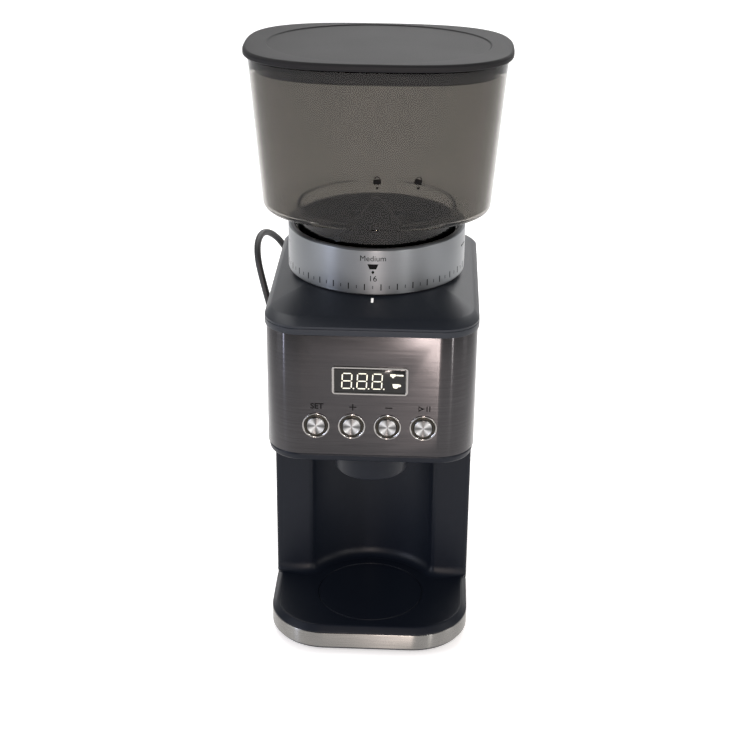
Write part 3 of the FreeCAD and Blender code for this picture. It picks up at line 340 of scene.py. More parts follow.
def rounded(corners: Sequence[tuple[float, float, float]], closed: bool = False, steps: int = 5) -> Array:
    """Rounds the corners of a line in a plane.

    Each corner is replaced by an arc of the circle of its radius that touches both of its sides, with the
    radius limited so that the arc takes at most 0.48 of either side.

    Args:
        corners: Points of the line as (across, along, radius).
        closed: Whether the last point joins the first.
        steps: How many short lines stand for each arc.

    Returns:
        The rounded line's points, one row each.
    """
    points = np.array([c[:2] for c in corners], float)
    count, parts = len(points), []
    for n, (point, corner) in enumerate(zip(points, corners)):
        radius = corner[2]
        if radius <= 0 or (not closed and n in (0, count - 1)):
            parts.append(point[None])
            continue
        back, ahead = points[n - 1] - point, points[(n + 1) % count] - point
        reach = 0.48 * min(np.linalg.norm(back), np.linalg.norm(ahead))
        back, ahead = back / np.linalg.norm(back), ahead / np.linalg.norm(ahead)
        half = math.acos(float(np.clip(back @ ahead, -1, 1))) / 2
        trim = min(radius / math.tan(half), reach)
        radius = trim * math.tan(half)
        middle = (back + ahead) / np.linalg.norm(back + ahead)
        centre = point + middle * radius / math.sin(half)
        start, end = point + back * trim - centre, point + ahead * trim - centre
        first, last = math.atan2(start[1], start[0]), math.atan2(end[1], end[0])
        sweep = (last - first + math.pi) % (2 * math.pi) - math.pi
        turn = first + np.linspace(0, sweep, steps + 1)
        parts.append(centre + radius * np.stack([np.cos(turn), np.sin(turn)], 1))
    return np.vstack(parts)


@dataclass(frozen=True)
class RoundPlan:
    """A rectangle with round corners, symmetric about the Y axis."""

    half_width: float
    front: float
    back: float
    front_corner: float
    back_corner: float
    per_corner: int = 14

    def ring(self, inset: Array) -> Array:
        """The outline drawn in by each inset: straight sides move in, and corner radii shrink by the same
        amount.

        Args:
            inset: One inset for each ring.

        Returns:
            The rings, as an array of rings by points by two.
        """
        inset = np.atleast_1d(np.asarray(inset, float))[:, None]
        corners = [(1, -self.front, self.front_corner, -90), (1, self.back, self.back_corner, 0),
                   (-1, self.back, self.back_corner, 90), (-1, -self.front, self.front_corner, 180)]
        parts = []
        for side, end, radius, start in corners:
            turn = np.radians(np.linspace(start, start + 90, self.per_corner))[None]
            left = np.maximum(radius - inset, 0.05)
            middle_x = side * (self.half_width - inset - left)
            middle_y = math.copysign(1, end) * (abs(end) - inset - left)
            parts.append(np.stack([middle_x + left * np.cos(turn), middle_y + left * np.sin(turn)], -1))
        return np.concatenate(parts, 1)


@dataclass(frozen=True)
class OvalPlan:
    """A superellipse round the grinding axis: |x/a| and |y/b| to a power add up to one."""

    half_x: float
    half_y: float
    power: float
    count: int = 176

    def ring(self, inset: Array) -> Array:
        """The outline with both half axes shortened by each inset.

        Args:
            inset: One inset for each ring.

        Returns:
            The rings, as an array of rings by points by two.
        """
        inset = np.atleast_1d(np.asarray(inset, float))[:, None]
        turn = np.linspace(0, 2 * math.pi, self.count, endpoint=False)[None]
        x = np.sign(np.cos(turn)) * np.abs(np.cos(turn)) ** (2 / self.power) * (self.half_x - inset)
        y = np.sign(np.sin(turn)) * np.abs(np.sin(turn)) ** (2 / self.power) * (self.half_y - inset)
        return np.stack([x, y + AXIS_Y], -1)


def carried(plan: RoundPlan | OvalPlan, profile: Array) -> Array:
    """Carries a profile round a plan: ring k is the plan drawn in by profile[k, 0], at height profile[k, 1].

    Args:
        plan: The outline.
        profile: Rows of inset and height.

    Returns:
        The surface's points, rings by points by three.
    """
    rings = plan.ring(profile[:, 0])
    height = np.broadcast_to(profile[:, 1][:, None, None], (*rings.shape[:2], 1))
    return np.concatenate([rings, height], -1)


def turned(profile: Array, x: float = 0.0, y: float = AXIS_Y, segments: int = 96,
           facing: Facing = Facing.UP) -> Array:
    """Turns a profile round an axis: the point at angle t is (radius cos t, radius sin t, height).

    Args:
        profile: Rows of radius and height.
        x: The axis's place across.
        y: The axis's place along the depth, or its height where the axis lies along Y or X.
        segments: How many points go round.
        facing: Which way the axis runs.

    Returns:
        The surface's points, rings by points by three.
    """
    turn = np.linspace(0, 2 * math.pi, segments, endpoint=False)
    across = x + profile[:, :1] * np.cos(turn)
    along = y + profile[:, :1] * np.sin(turn)
    height = np.broadcast_to(profile[:, 1:2], across.shape)
    order = {Facing.UP: (across, along, height), Facing.BACK: (across, height, along)}[facing]
    return np.stack(order, -1)


# ---------------------------------------------------------------- meshes

UV_NAME = "surface"


def finish_mesh(piece: bpy.types.Object, sharp: float = 32.0) -> bpy.types.Object:
    """Welds a mesh, turns its faces outwards and shades it smooth between its sharp edges.

    Args:
        piece: The object.
        sharp: The angle, in degrees, past which an edge is sharp.

    Returns:
        The same object.
    """
    mesh = piece.data
    work = bmesh.new()
    work.from_mesh(mesh)
    bmesh.ops.remove_doubles(work, verts=work.verts, dist=1e-6)
    bmesh.ops.dissolve_degenerate(work, edges=work.edges, dist=1e-7)
    bmesh.ops.recalc_face_normals(work, faces=work.faces)
    work.to_mesh(mesh)
    work.free()
    mesh.shade_smooth()
    mesh.set_sharp_from_angle(angle=math.radians(sharp))
    return piece


def surface(name: str, grid: Array, wrap_rows: bool = False, wrap_columns: bool = True,
            caps: tuple[bool, bool] = (False, False), sharp: float = 32.0) -> bpy.types.Object:
    """Makes a mesh from a grid of points.

    Args:
        name: The piece's name.
        grid: Rows by columns by three, in millimetres.
        wrap_rows: Whether the last row joins the first.
        wrap_columns: Whether the last column joins the first.
        caps: Whether a flat face closes the first and the last row.
        sharp: The angle, in degrees, past which an edge is sharp.

    Returns:
        The new object, with a UV map of columns by rows.
    """
    rows, columns = grid.shape[:2]
    r = np.arange(rows if wrap_rows else rows - 1)[:, None]
    c = np.arange(columns if wrap_columns else columns - 1)[None]
    next_r, next_c = (r + 1) % rows, (c + 1) % columns
    quads = np.stack(np.broadcast_arrays(r * columns + c, r * columns + next_c, next_r * columns + next_c,
                                         next_r * columns + c), -1).reshape(-1, 4)
    u = np.broadcast_to(c / columns, (r.size, c.size)).reshape(-1)
    v = np.broadcast_to(r / rows, (r.size, c.size)).reshape(-1)
    du, dv = 1 / columns, 1 / rows
    faces = quads.tolist()
    uvs = np.stack([np.stack([u, v], 1), np.stack([u + du, v], 1), np.stack([u + du, v + dv], 1),
                    np.stack([u, v + dv], 1)], 1).reshape(-1, 2)
    for wanted, row in zip(caps, (0, rows - 1)):
        if wanted:
            faces.append((np.arange(columns) + row * columns).tolist())
            uvs = np.vstack([uvs, np.zeros((columns, 2))])
    mesh = bpy.data.meshes.new(name)
    mesh.from_pydata((grid.reshape(-1, 3) * MM).tolist(), [], faces)
    layer = mesh.uv_layers.new(name=UV_NAME)
    layer.data.foreach_set("uv", uvs.astype(np.float32).ravel())
    piece = bpy.data.objects.new(name, mesh)
    bpy.context.scene.collection.objects.link(piece)
    return finish_mesh(piece, sharp)


def joined(name: str, pieces: Sequence[bpy.types.Object]) -> bpy.types.Object:
    """Puts several meshes into one object.

    Args:
        name: The new piece's name.
        pieces: The objects, which are removed.

    Returns:
        The new object.
    """
    work = bmesh.new()
    for piece in pieces:
        work.from_mesh(piece.data)
    mesh = bpy.data.meshes.new(name)
    work.to_mesh(mesh)
    work.free()
    made = bpy.data.objects.new(name, mesh)
    bpy.context.scene.collection.objects.link(made)
    for piece in pieces:
        bpy.data.objects.remove(piece)
    mesh.shade_smooth()
    mesh.set_sharp_from_angle(angle=math.radians(32))
    return made


def baked(piece: bpy.types.Object) -> bpy.types.Object:
    """Applies a piece's modifiers to its mesh.

    Args:
        piece: The object.

    Returns:
        The same object, with no modifiers.
    """
    graph = bpy.context.evaluated_depsgraph_get()
    piece.data = bpy.data.meshes.new_from_object(piece.evaluated_get(graph))
    piece.modifiers.clear()
    return piece


def less(piece: bpy.types.Object, cutters: Sequence[bpy.types.Object]) -> bpy.types.Object:
    """Cuts shapes out of a piece.

    Args:
        piece: The object to cut.
        cutters: The shapes, which are removed.

    Returns:
        The same object.
    """
    for cutter in cutters:
        change = piece.modifiers.new("cut", "BOOLEAN")
        change.operation, change.solver, change.object = "DIFFERENCE", "EXACT", cutter
    baked(piece)
    for cutter in cutters:
        bpy.data.objects.remove(cutter)
    piece.data.set_sharp_from_angle(angle=math.radians(32))
    return piece


def walled(piece: bpy.types.Object, thickness: float, bevel: float = 0.0) -> bpy.types.Object:
    """Gives an open surface a wall behind it and rounds the wall's edges.

    Args:
        piece: The open surface, with its outer side facing out.
        thickness: The wall, in millimetres, inwards.
        bevel: The edges' rounding, in millimetres.

    Returns:
        The same object.
    """
    wall = piece.modifiers.new("wall", "SOLIDIFY")
    wall.thickness, wall.offset, wall.use_even_offset = thickness * MM, -1.0, True
    if bevel:
        edge = piece.modifiers.new("edge", "BEVEL")
        edge.width, edge.segments, edge.limit_method = bevel * MM, 2, "ANGLE"
        edge.angle_limit = math.radians(50)
    baked(piece)
    piece.data.shade_smooth()
    piece.data.set_sharp_from_angle(angle=math.radians(40))
    return piece


def facing_out(piece: bpy.types.Object, inside: tuple[float, float, float]) -> bpy.types.Object:
    """Turns an open surface's faces away from a point.

    Args:
        piece: The open surface.
        inside: A point on its inner side, in millimetres.

    Returns:
        The same object.
    """
    mesh = piece.data
    count = len(mesh.polygons)
    centres, normals = np.zeros(count * 3), np.zeros(count * 3)
    mesh.polygons.foreach_get("center", centres)
    mesh.polygons.foreach_get("normal", normals)
    outward = (centres.reshape(-1, 3) - np.array(inside) * MM) * normals.reshape(-1, 3)
    if outward.sum() < 0:
        mesh.flip_normals()
    return piece


def plates(name: str, outlines: Sequence[Array], place: Callable[[Array, float], Array],
           thickness: float = 0.06) -> bpy.types.Object:
    """Thin printed or lit shapes: each flat outline is laid on a surface by a function and given a small
    thickness.

    Args:
        name: The piece's name.
        outlines: Closed outlines, each an array of points across and up.
        place: A function from points and a lift to places, which lays them on the surface.
        thickness: The lift of the front face, in millimetres.

    Returns:
        The new object.
    """
    made = []
    for outline in outlines:
        grid = np.stack([place(outline, -thickness), place(outline, thickness)])
        made.append(surface("mark", grid, caps=(True, True), sharp=20))
    return joined(name, made)


def lettering(text: str, height: float, weight: float = 0.0) -> list[Array]:
    """The outlines of generic marking text, centred on the origin.

    Args:
        text: What it says.
        height: The height of its capitals, in millimetres.
        weight: How much its strokes are thickened, as a share of the type's size.

    Returns:
        Triangles and quads as closed outlines, each an array of points across and up.
    """
    curve = bpy.data.curves.new("marking", "FONT")
    curve.body, curve.align_x, curve.align_y = text, "CENTER", "CENTER"
    curve.size, curve.resolution_u, curve.offset = 1.0, 3, weight
    letter = bpy.data.objects.new("marking", curve)
    bpy.context.scene.collection.objects.link(letter)
    bpy.context.view_layer.update()
    graph = bpy.context.evaluated_depsgraph_get()
    mesh = bpy.data.meshes.new_from_object(letter.evaluated_get(graph))
    points = np.zeros(len(mesh.vertices) * 3)
    mesh.vertices.foreach_get("co", points)
    points = points.reshape(-1, 3)[:, :2]
    tall = 0.69
    faces = [points[list(face.vertices)] * height / tall for face in mesh.polygons]
    bpy.data.objects.remove(letter)
    bpy.data.meshes.remove(mesh)
    return faces


class Assembly:
    """A sub-assembly that builds its pieces, puts each on its body and dresses it."""

    def __init__(self, paints: Paintbox) -> None:
        """Keeps the paintbox.

        Args:
            paints: The built materials.
        """
        self.paints = paints

    def keep(self, piece: bpy.types.Object, body: str, slot: str, stands_for: Sequence[str] = (),
             finish: str | None = None) -> bpy.types.Object:
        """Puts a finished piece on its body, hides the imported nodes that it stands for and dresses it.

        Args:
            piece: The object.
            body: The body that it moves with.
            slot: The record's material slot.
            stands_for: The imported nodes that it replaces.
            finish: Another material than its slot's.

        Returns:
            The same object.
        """
        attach(piece, body)
        if stands_for:
            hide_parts(*stands_for)
        self.paints.dress(piece, slot, finish)
        log.info("%s on %s, %d faces", piece.name, body, len(piece.data.polygons))
        return piece


# ---------------------------------------------------------------- base


@dataclass
class Base(Assembly):
    """The feet, the steel trim round the black tray, and the deck with its soft bevel and ring mark."""

    paints: Paintbox
    half_width: float = 67.4
    reach: float = 93.5
    front_corner: float = 38.0
    back_corner: float = 22.0
    trim: tuple[float, float] = (5.7, 16.6)
    deck: tuple[float, float] = (16.7, 21.2)
    seam: float = -20.75
    mark_radius: float = 36.5
    mark_y: float = -46.3
    feet: tuple[tuple[str, float, float], ...] = (
        ("foot_front_left", -50, -68), ("foot_front_right", 50, -68),
        ("foot_back_left", -50, 74), ("foot_back_right", 50, 74),
    )

    def plan(self) -> RoundPlan:
        """The base's outline.

        Returns:
            The plan.
        """
        return RoundPlan(self.half_width, self.reach, self.reach, self.front_corner, self.back_corner, 22)

    def build(self) -> None:
        """Makes the base's pieces."""
        self.build_trim()
        self.build_tray()
        self.build_deck()
        for name, x, y in self.feet:
            self.build_foot(name, x, y)

    def build_trim(self) -> None:
        """The steel band: a closed section with rolled edges, carried round the base."""
        low, high = self.trim
        section = rounded([(0, low, 0.35), (0, high, 0.35), (1.1, high, 0.2), (1.1, low, 0.2)], closed=True,
                          steps=4)
        self.keep(surface("trim_band", carried(self.plan(), section), wrap_rows=True), "chassis",
                  "brushed_steel", ["base_trim"])

    def build_tray(self) -> None:
        """The black tray: a wall behind the trim and a lip under it."""
        low, high = self.trim
        section = rounded([(0.7, low - 0.15, 0.3), (1.25, low - 0.1, 0), (1.25, high, 0.2), (4.2, high, 0.2),
                           (4.2, 3.7, 0.3), (1.6, 3.7, 0.8)], closed=True, steps=4)
        self.keep(surface("tray_ring", carried(self.plan(), section), wrap_rows=True), "chassis",
                  "black_plastic", ["base_tray"])

    def build_deck(self) -> None:
        """The deck: in front of the seam it follows the plan, and behind it is drawn in inside the
        housing."""
        low, high = self.deck
        profile = rounded([(3.4, low, 0), (0.05, low, 0.2), (0.05, low + 0.9, 0.7), (3.6, high, 2.6),
                           (7.5, high, 0)],
                          steps=8)
        rings = carried(self.plan(), profile)
        inner = self.half_width - 3.2
        behind = rings[..., 1] > self.seam
        side = np.sign(rings[..., 0])
        rings[..., 0] = np.where(behind, side * np.minimum(np.abs(rings[..., 0]), inner), rings[..., 0])
        rings[..., 1] = np.where(behind, np.minimum(rings[..., 1], self.reach - 3.2), rings[..., 1])
        seam_front = rings[:, :1].copy()
        seam_front[..., 0] = self.half_width - profile[:, :1]
        seam_front[..., 1] = self.seam
        seam_back = seam_front.copy()
        seam_back[..., 0] = np.minimum(seam_front[..., 0], inner)
        mirror = np.array([-1, 1, 1])
        quarter = rings.shape[1] // 4
        grid = np.concatenate([rings[:, :quarter], seam_front, seam_back, rings[:, quarter:3 * quarter],
                               seam_back * mirror, seam_front * mirror, rings[:, 3 * quarter:]], 1)
        deck = surface("cup_deck", grid, caps=(True, True), sharp=28)
        groove = rounded([(self.mark_radius - 1.1, high + 1, 0), (self.mark_radius - 0.7, high - 0.55, 0.4),
                          (self.mark_radius, high - 0.55, 0.4), (self.mark_radius + 0.4, high + 1, 0)],
                          closed=True)
        cutter = surface("ring_cutter", turned(groove, y=self.mark_y, segments=128), wrap_rows=True)
        self.keep(less(deck, [cutter]), "chassis", "black_plastic", ["base_deck"])

    def build_foot(self, name: str, x: float, y: float) -> None:
        """A rubber foot with a rounded rim and a shallow hollow underneath.

        Args:
            name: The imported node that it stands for.
            x: Its place across.
            y: Its place along the depth.
        """
        line = rounded([(0, 0.3, 0), (5.2, 0.3, 0.2), (5.6, 0.0, 0.2), (8.0, 0.0, 0.5), (9.0, 2.95, 0.4),
                        (3.2, 2.95, 0.2), (3.2, 7.3, 0.5), (0, 7.3, 0)], steps=4)
        self.keep(surface(f"rubber_{name}", turned(line, x, y, 48)), "chassis", "rubber_black", [name])


# ---------------------------------------------------------------- housings


@dataclass
class Housing(Assembly):
    """The rear shell, the column's front with its recess, the head's underside and the round spout."""

    paints: Paintbox
    half_width: float = 67.4
    back: float = 93.5
    back_corner: float = 22.0
    shell_low: float = 16.9
    shell_step: float = 142.7
    shell_high: float = 231.8
    front_low: float = -18.05
    front_high: float = 35.0
    cheek: float = -21.0
    recess_radius: float = 50.0
    recess_y: float = -46.3
    mouth_round: float = 6.0
    foot_round: float = 6.5
    column: tuple[float, float] = (21.3, 142.7)
    underside: tuple[float, float] = (143.0, 148.4)
    spout_radius: float = 25.5

    def build(self) -> None:
        """Makes the housing's pieces."""
        self.build_shell()
        self.build_column_front()
        self.build_underside()
        self.build_spout()

    def build_shell(self) -> None:
        """The rear shell: an upright wall along a U, cut back above the step where the head's panel
        begins."""
        corner = rounded([(self.half_width, self.front_high, 0),
                          (self.half_width, self.back, self.back_corner),
                          (-self.half_width, self.back, self.back_corner),
                          (-self.half_width, self.front_high, 0)],
                         steps=24)
        extra = np.array([[self.half_width, self.front_low + 0.6]])
        lower = np.vstack([extra, corner, extra * [-1, 1]])
        made = []
        for path, low, high in ((lower, self.shell_low, self.shell_step),
                                (corner, self.shell_step, self.shell_high)):
            levels = np.array([low, high])
            grid = np.concatenate([np.broadcast_to(path, (2, *path.shape)),
                                   np.broadcast_to(levels[:, None, None], (2, len(path), 1))], -1)
            made.append(surface("shell", grid, wrap_columns=False))
        shell = finish_mesh(joined("rear_shell", made))
        facing_out(shell, (0, 30, 120))
        self.keep(walled(shell, 2.8, 0.5), "chassis", "black_plastic", ["rear_housing"])

    def recess_line(self) -> Array:
        """The column front's plan, from the left side over the left cheek, round the recess, to the right
        side.

        Returns:
            The plan's points, across and back, in millimetres.
        """
        half = self.half_width
        reach = math.sqrt(self.recess_radius**2 - (self.cheek - self.recess_y) ** 2)
        soft = self.mouth_round
        opening = math.asin(reach / self.recess_radius)
        turn = np.linspace(opening - 0.11, -(opening - 0.11), 60)
        arc = np.stack([-self.recess_radius * np.sin(turn),
                        self.recess_y + self.recess_radius * np.cos(turn)], 1)
        left = rounded([(-half, self.cheek + 4.5, 0), (-half, self.cheek, 3.0),
                        (-reach - soft, self.cheek, 0)], steps=8)
        ends = [(left[-1][0], left[-1][1], 0), (-reach + 0.5, self.cheek, 14.0), (arc[0][0], arc[0][1], 0)]
        blend = rounded(ends, steps=8)[1:-1]
        line = np.vstack([left, blend, arc[:30]])
        return np.vstack([line, line[::-1] * [-1, 1]])

    def build_column_front(self) -> None:
        """The column's front: its plan, pushed outwards near the deck by a quarter round so that it runs
        into it."""
        line = self.recess_line()
        ahead = np.gradient(line, axis=0)
        normal = np.stack([ahead[:, 1], -ahead[:, 0]], 1)
        normal /= np.linalg.norm(normal, axis=1)[:, None]
        free = np.clip((self.half_width - np.abs(line[:, :1])) / 6.0, 0, 1)
        low, high = self.column
        turn = np.linspace(0, math.pi / 2, 9)
        height = np.concatenate([low + self.foot_round * (1 - np.cos(turn)), [high]])
        push = np.concatenate([self.foot_round * (1 - np.sin(turn)), [0.0]])
        shape = line[None] + normal[None] * push[:, None, None] * free[None]
        grid = np.concatenate([shape, np.broadcast_to(height[:, None, None], (*shape.shape[:2], 1))], -1)
        front = facing_out(surface("recess_wall", grid, wrap_columns=False, sharp=40), (0, 40, 80))
        self.keep(walled(front, 2.4), "chassis", "black_plastic", ["column_front"])

    def build_underside(self) -> None:
        """The head's underside: a tray with a rounded lip, drawn in a little under the steel."""
        low, high = self.underside
        plan = RoundPlan(self.half_width, 84.3, 34.7, 24.0, 1.0, 22)
        profile = rounded([(8, high, 0), (1.2, high, 0.3), (0.5, high - 1.2, 0.6), (1.3, low, 2.2),
                           (4.4, low, 0.8), (5.0, low + 1.6, 0.6), (10, low + 1.6, 0)], steps=6)
        self.keep(surface("head_tray", carried(plan, profile), caps=(True, True)), "chassis", "black_plastic",
                  ["head_underside"])

    def build_spout(self) -> None:
        """The spout: a round skirt that narrows inside to the outlet."""
        low, radius = self.underside[0] - 21, self.spout_radius
        section = rounded([(radius - 9.2, low + 0.6, 0.5), (radius - 1.4, low, 1.6),
                           (radius, self.underside[1], 0), (radius + 3, self.underside[1] + 0.05, 0.3),
                           (radius + 3, self.underside[1] + 1.5, 0.3),
                           (radius - 3, self.underside[1] + 1.5, 0.3)], closed=True, steps=5)
        self.keep(surface("round_spout", turned(section, y=self.recess_y), wrap_rows=True), "chassis",
                  "black_plastic", ["spout"])


# ---------------------------------------------------------------- head


@dataclass
class Head(Assembly):
    """The brushed steel panel, the dark top cover, the display and the four keys with their markings."""

    paints: Paintbox
    half_width: float = 67.4
    front: float = 84.3
    corner: float = 24.0
    panel: tuple[float, float] = (148.65, 231.8)
    panel_back: float = 34.7
    display: tuple[float, float, float, float] = (24.2, 201.35, 9.75, 2.2)
    key_level: float = 169.1
    key_pitch: float = 22.9
    bezel_radius: float = 8.8
    keys: tuple[str, ...] = ("set", "plus", "minus", "start")
    back: float = 93.5
    back_corner: float = 22.0
    overhang: float = 0.9
    crease_side: float = 3.5
    crease_front: float = 8.7
    crease_back: float = 6.1
    crease_softer: float = 3.0
    seat_radius: float = 60.3
    bore_radius: float = 49.3
    index_ends: tuple[float, float] = (-58.4, -62.4)
    cover_levels: tuple[float, float, float, float] = (232.05, 237.15, 241.4, 247.3)

    def build(self) -> None:
        """Makes the head's pieces."""
        self.build_panel()
        self.build_cover()
        self.build_display()
        for n, key in enumerate(self.keys):
            self.build_key(key, (n - 1.5) * self.key_pitch)
        self.build_markings()

    def display_ring(self, grow: float, depth: Array) -> Array:
        """The display's rounded rectangle in the panel's plane, one ring at each depth.

        Args:
            grow: How far outside the frame's outer edge it lies.
            depth: The place of each ring along Y.

        Returns:
            The surface's points, rings by points by three.
        """
        half, level, tall, corner = self.display
        flat = RoundPlan(half + grow, tall + grow, tall + grow, corner + grow, corner + grow, 9).ring(0.0)[0]
        depth = np.asarray(depth, float)
        rings = np.broadcast_to(flat, (len(depth), *flat.shape))
        height = np.broadcast_to(depth[:, None], rings.shape[:2])
        return np.stack([rings[..., 0], height, rings[..., 1] + level], -1)

    def build_panel(self) -> None:
        """The steel sheet: a wall along a U, with the display's window and four round holes cut through."""
        path = rounded([(-self.half_width, self.panel_back, 0), (-self.half_width, -self.front, self.corner),
                        (self.half_width, -self.front, self.corner), (self.half_width, self.panel_back, 0)],
                        steps=26)
        levels = np.array(self.panel)
        grid = np.concatenate([np.broadcast_to(path, (2, *path.shape)),
                               np.broadcast_to(levels[:, None, None], (2, len(path), 1))], -1)
        sheet = facing_out(surface("steel_panel", grid, wrap_columns=False), (0, 0, 190))
        walled(sheet, 0.9, 0.22)
        cutters = [surface("hole", self.display_ring(0.05, [-self.front - 3, -self.front + 3]),
                           caps=(True, True))]
        for n in range(len(self.keys)):
            line = np.array([(self.bezel_radius + 0.05, -self.front - 3),
                             (self.bezel_radius + 0.05, -self.front + 3)])
            x = (n - 1.5) * self.key_pitch
            cutters.append(surface("hole", turned(line, x, self.key_level, 64, Facing.BACK),
                                   caps=(True, True)))
        self.keep(less(sheet, cutters), "chassis", "brushed_steel", ["front_panel"], finish="panel_steel")

    def build_cover(self) -> None:
        """The top cover: its rings pass from the body's outline over the crease to the round seat of the
        dial."""
        low, edge, crease, seat = self.cover_levels
        side, ahead = self.half_width + self.overhang, self.front + self.overhang
        outer = RoundPlan(side, ahead, self.back, self.corner, self.back_corner, 22)
        ridge = RoundPlan(side - self.crease_side, ahead - self.crease_front, self.back - self.crease_back,
                          self.corner - self.crease_softer, self.back_corner - self.crease_softer, 22)
        edge_rings = carried(outer,
                             rounded([(3, low, 0), (0.0, low, 0.4), (0.0, low + 3.9, 0.15),
                                      (0.35, low + 4.15, 0),
                                             (0.1, low + 4.4, 0.2), (0.1, edge + 0.6, 0.5)], steps=3))
        ridge_ring = carried(ridge, np.array([[0, crease]]))[0]
        turn = np.arctan2(ridge_ring[:, 1] - AXIS_Y, ridge_ring[:, 0])
        flat = np.full_like(turn, seat)
        seat_ring = np.stack([self.seat_radius * np.cos(turn), self.seat_radius * np.sin(turn) + AXIS_Y,
                              flat], 1)
        steps = np.array([0.10, 0.50, 0.92, 0.98])[:, None, None]
        swell = np.array([0.10, 0.25, 0.08, 0.02])[:, None]
        bevel = edge_rings[-1][None] * (1 - steps) + ridge_ring[None] * steps
        bevel[..., 2] += swell
        slope_steps = np.array([0.02, 0.08, 0.5, 0.93, 1.0])[:, None, None]
        slope = ridge_ring[None] * (1 - slope_steps) + seat_ring[None] * slope_steps
        slope[..., 2] += np.array([0.02, 0.06, 0.20, 0.06, 0.0])[:, None]
        inner = np.stack([self.bore_radius * np.cos(turn), self.bore_radius * np.sin(turn) + AXIS_Y, flat],
                         1)[None]
        drop = inner - np.array([0, 0, 5.0])
        wall = inner - np.array([0, 0, seat - low])
        grid = np.concatenate([edge_rings, bevel, slope, inner, drop, wall], 0)
        cover = surface("top_shell", grid, wrap_rows=True, sharp=40)
        self.keep(cover, "chassis", "dark_cover", ["top_cover"])
        start, end = self.index_ends
        seat_front = AXIS_Y - self.seat_radius
        rise = (crease - seat) / (self.crease_front - ahead - seat_front)
        outline = rounded([(-0.75, start, 0.3), (0.75, start, 0.3), (0.75, end, 0.3), (-0.75, end, 0.3)],
                          closed=True, steps=3)

        def on_slope(points: Array, lift: float) -> Array:
            """Lays the index mark on the cover's front slope.

            Args:
                points: Points across and up, in millimetres.
                lift: How far they lie above the surface.

            Returns:
                Their places.
            """
            level = seat + 0.32 + rise * (points[:, 1] - seat_front)
            return np.stack([points[:, 0], points[:, 1], level + lift], 1)

        # the index mark's glowing white finish is painted light
        self.keep(plates("index_mark", [outline], on_slope, 0.12), "chassis", "dark_cover",
                  finish="white_mark")

    def build_display(self) -> None:
        """The display: a bright frame round a dark window, with lit digits and two small pictures behind
        it."""
        rim = self.display_ring
        face = -self.front
        grid = np.concatenate([rim(-0.05, [face + 3.2, face - 0.5]), rim(-0.35, [face - 0.8]),
                               rim(-1.1, [face - 0.8]), rim(-1.6, [face - 0.3, face + 3.2])])
        self.keep(surface("display_bezel", grid, wrap_rows=True), "chassis", "chrome_trim", ["display_frame"])
        pane = np.concatenate([rim(-1.7, [face + 1.3, face + 0.0]), rim(-1.95, [face - 0.12])])
        self.keep(surface("display_pane", pane, caps=(True, True)), "chassis", "black_glass",
                  ["display_window"])
        shapes = [part for n in range(3) for part in self.digit(-13.4 + 9.6 * n)] + self.pictures()

        def on_pane(points: Array, lift: float) -> Array:
            """Lays lit shapes on the window.

            Args:
                points: Points across and up, in millimetres.
                lift: How far they lie above the surface.

            Returns:
                Their places.
            """
            level = self.display[1]
            return np.stack([points[:, 0], np.full(len(points), face - 0.14 - lift), points[:, 1] + level], 1)

        self.keep(plates("lit_digits", shapes, on_pane, 0.03), "chassis", "display_dark", finish="lit")

    def digit(self, x: float) -> list[Array]:
        """Seven slim segments and a point, leaning a little.

        Args:
            x: The middle of the digit.

        Returns:
            The outlines.
        """
        wide, tall, line, gap = 6.0, 10.4, 0.72, 0.26
        half, upper = wide / 2, tall / 2
        bars = [((0, upper), 0), ((0, 0), 0), ((0, -upper), 0), ((-half, upper / 2), 1),
                ((half, upper / 2), 1), ((-half, -upper / 2), 1), ((half, -upper / 2), 1)]
        made = []
        for (cx, cz), upright in bars:
            long = (upper if upright else wide) / 2 - gap - line / 4
            hexagon = np.array([(-long, 0), (-long + line / 2, line / 2), (long - line / 2, line / 2),
                                (long, 0), (long - line / 2, -line / 2), (-long + line / 2, -line / 2)])
            if upright:
                hexagon = hexagon[:, ::-1] * [1, -1]
            made.append(hexagon + [cx, cz])
        turn = np.linspace(0, 2 * math.pi, 12, endpoint=False)
        made.append(0.5 * np.stack([np.cos(turn), np.sin(turn)], 1) + [half + 1.5, -upper])
        lean = [shape + np.stack([shape[:, 1] * 0.05, np.zeros(len(shape))], 1) for shape in made]
        return [shape + [x - 1.2, -0.2] for shape in lean]

    def pictures(self) -> list[Array]:
        """A small filter holder and a small cup.

        Returns:
            Closed outlines, each an array of points across and up.
        """
        basket = rounded([(12.6, 5.2, 0.3), (16.4, 5.2, 0.3), (16.1, 3.6, 0.4), (12.9, 3.6, 0.4)],
                         closed=True, steps=3)
        spouts = rounded([(13.7, 3.4, 0), (15.3, 3.4, 0), (15.0, 2.6, 0.2), (14.0, 2.6, 0.2)], closed=True,
                         steps=3)
        handle = rounded([(16.6, 4.9, 0.2), (21.2, 4.9, 0.4), (21.2, 3.9, 0.4), (16.6, 4.1, 0.2)],
                         closed=True, steps=3)
        cup = rounded([(14.2, -1.6, 0.2), (18.4, -1.6, 0.2), (17.7, -4.6, 1.2), (14.9, -4.6, 1.2)],
                      closed=True, steps=4)
        turn = np.linspace(0, 2 * math.pi, 20, endpoint=False)
        ear = np.stack([1.1 * np.cos(turn) + 18.6, 0.9 * np.sin(turn) - 2.7], 1)
        return [basket, spouts, handle, cup, ear]

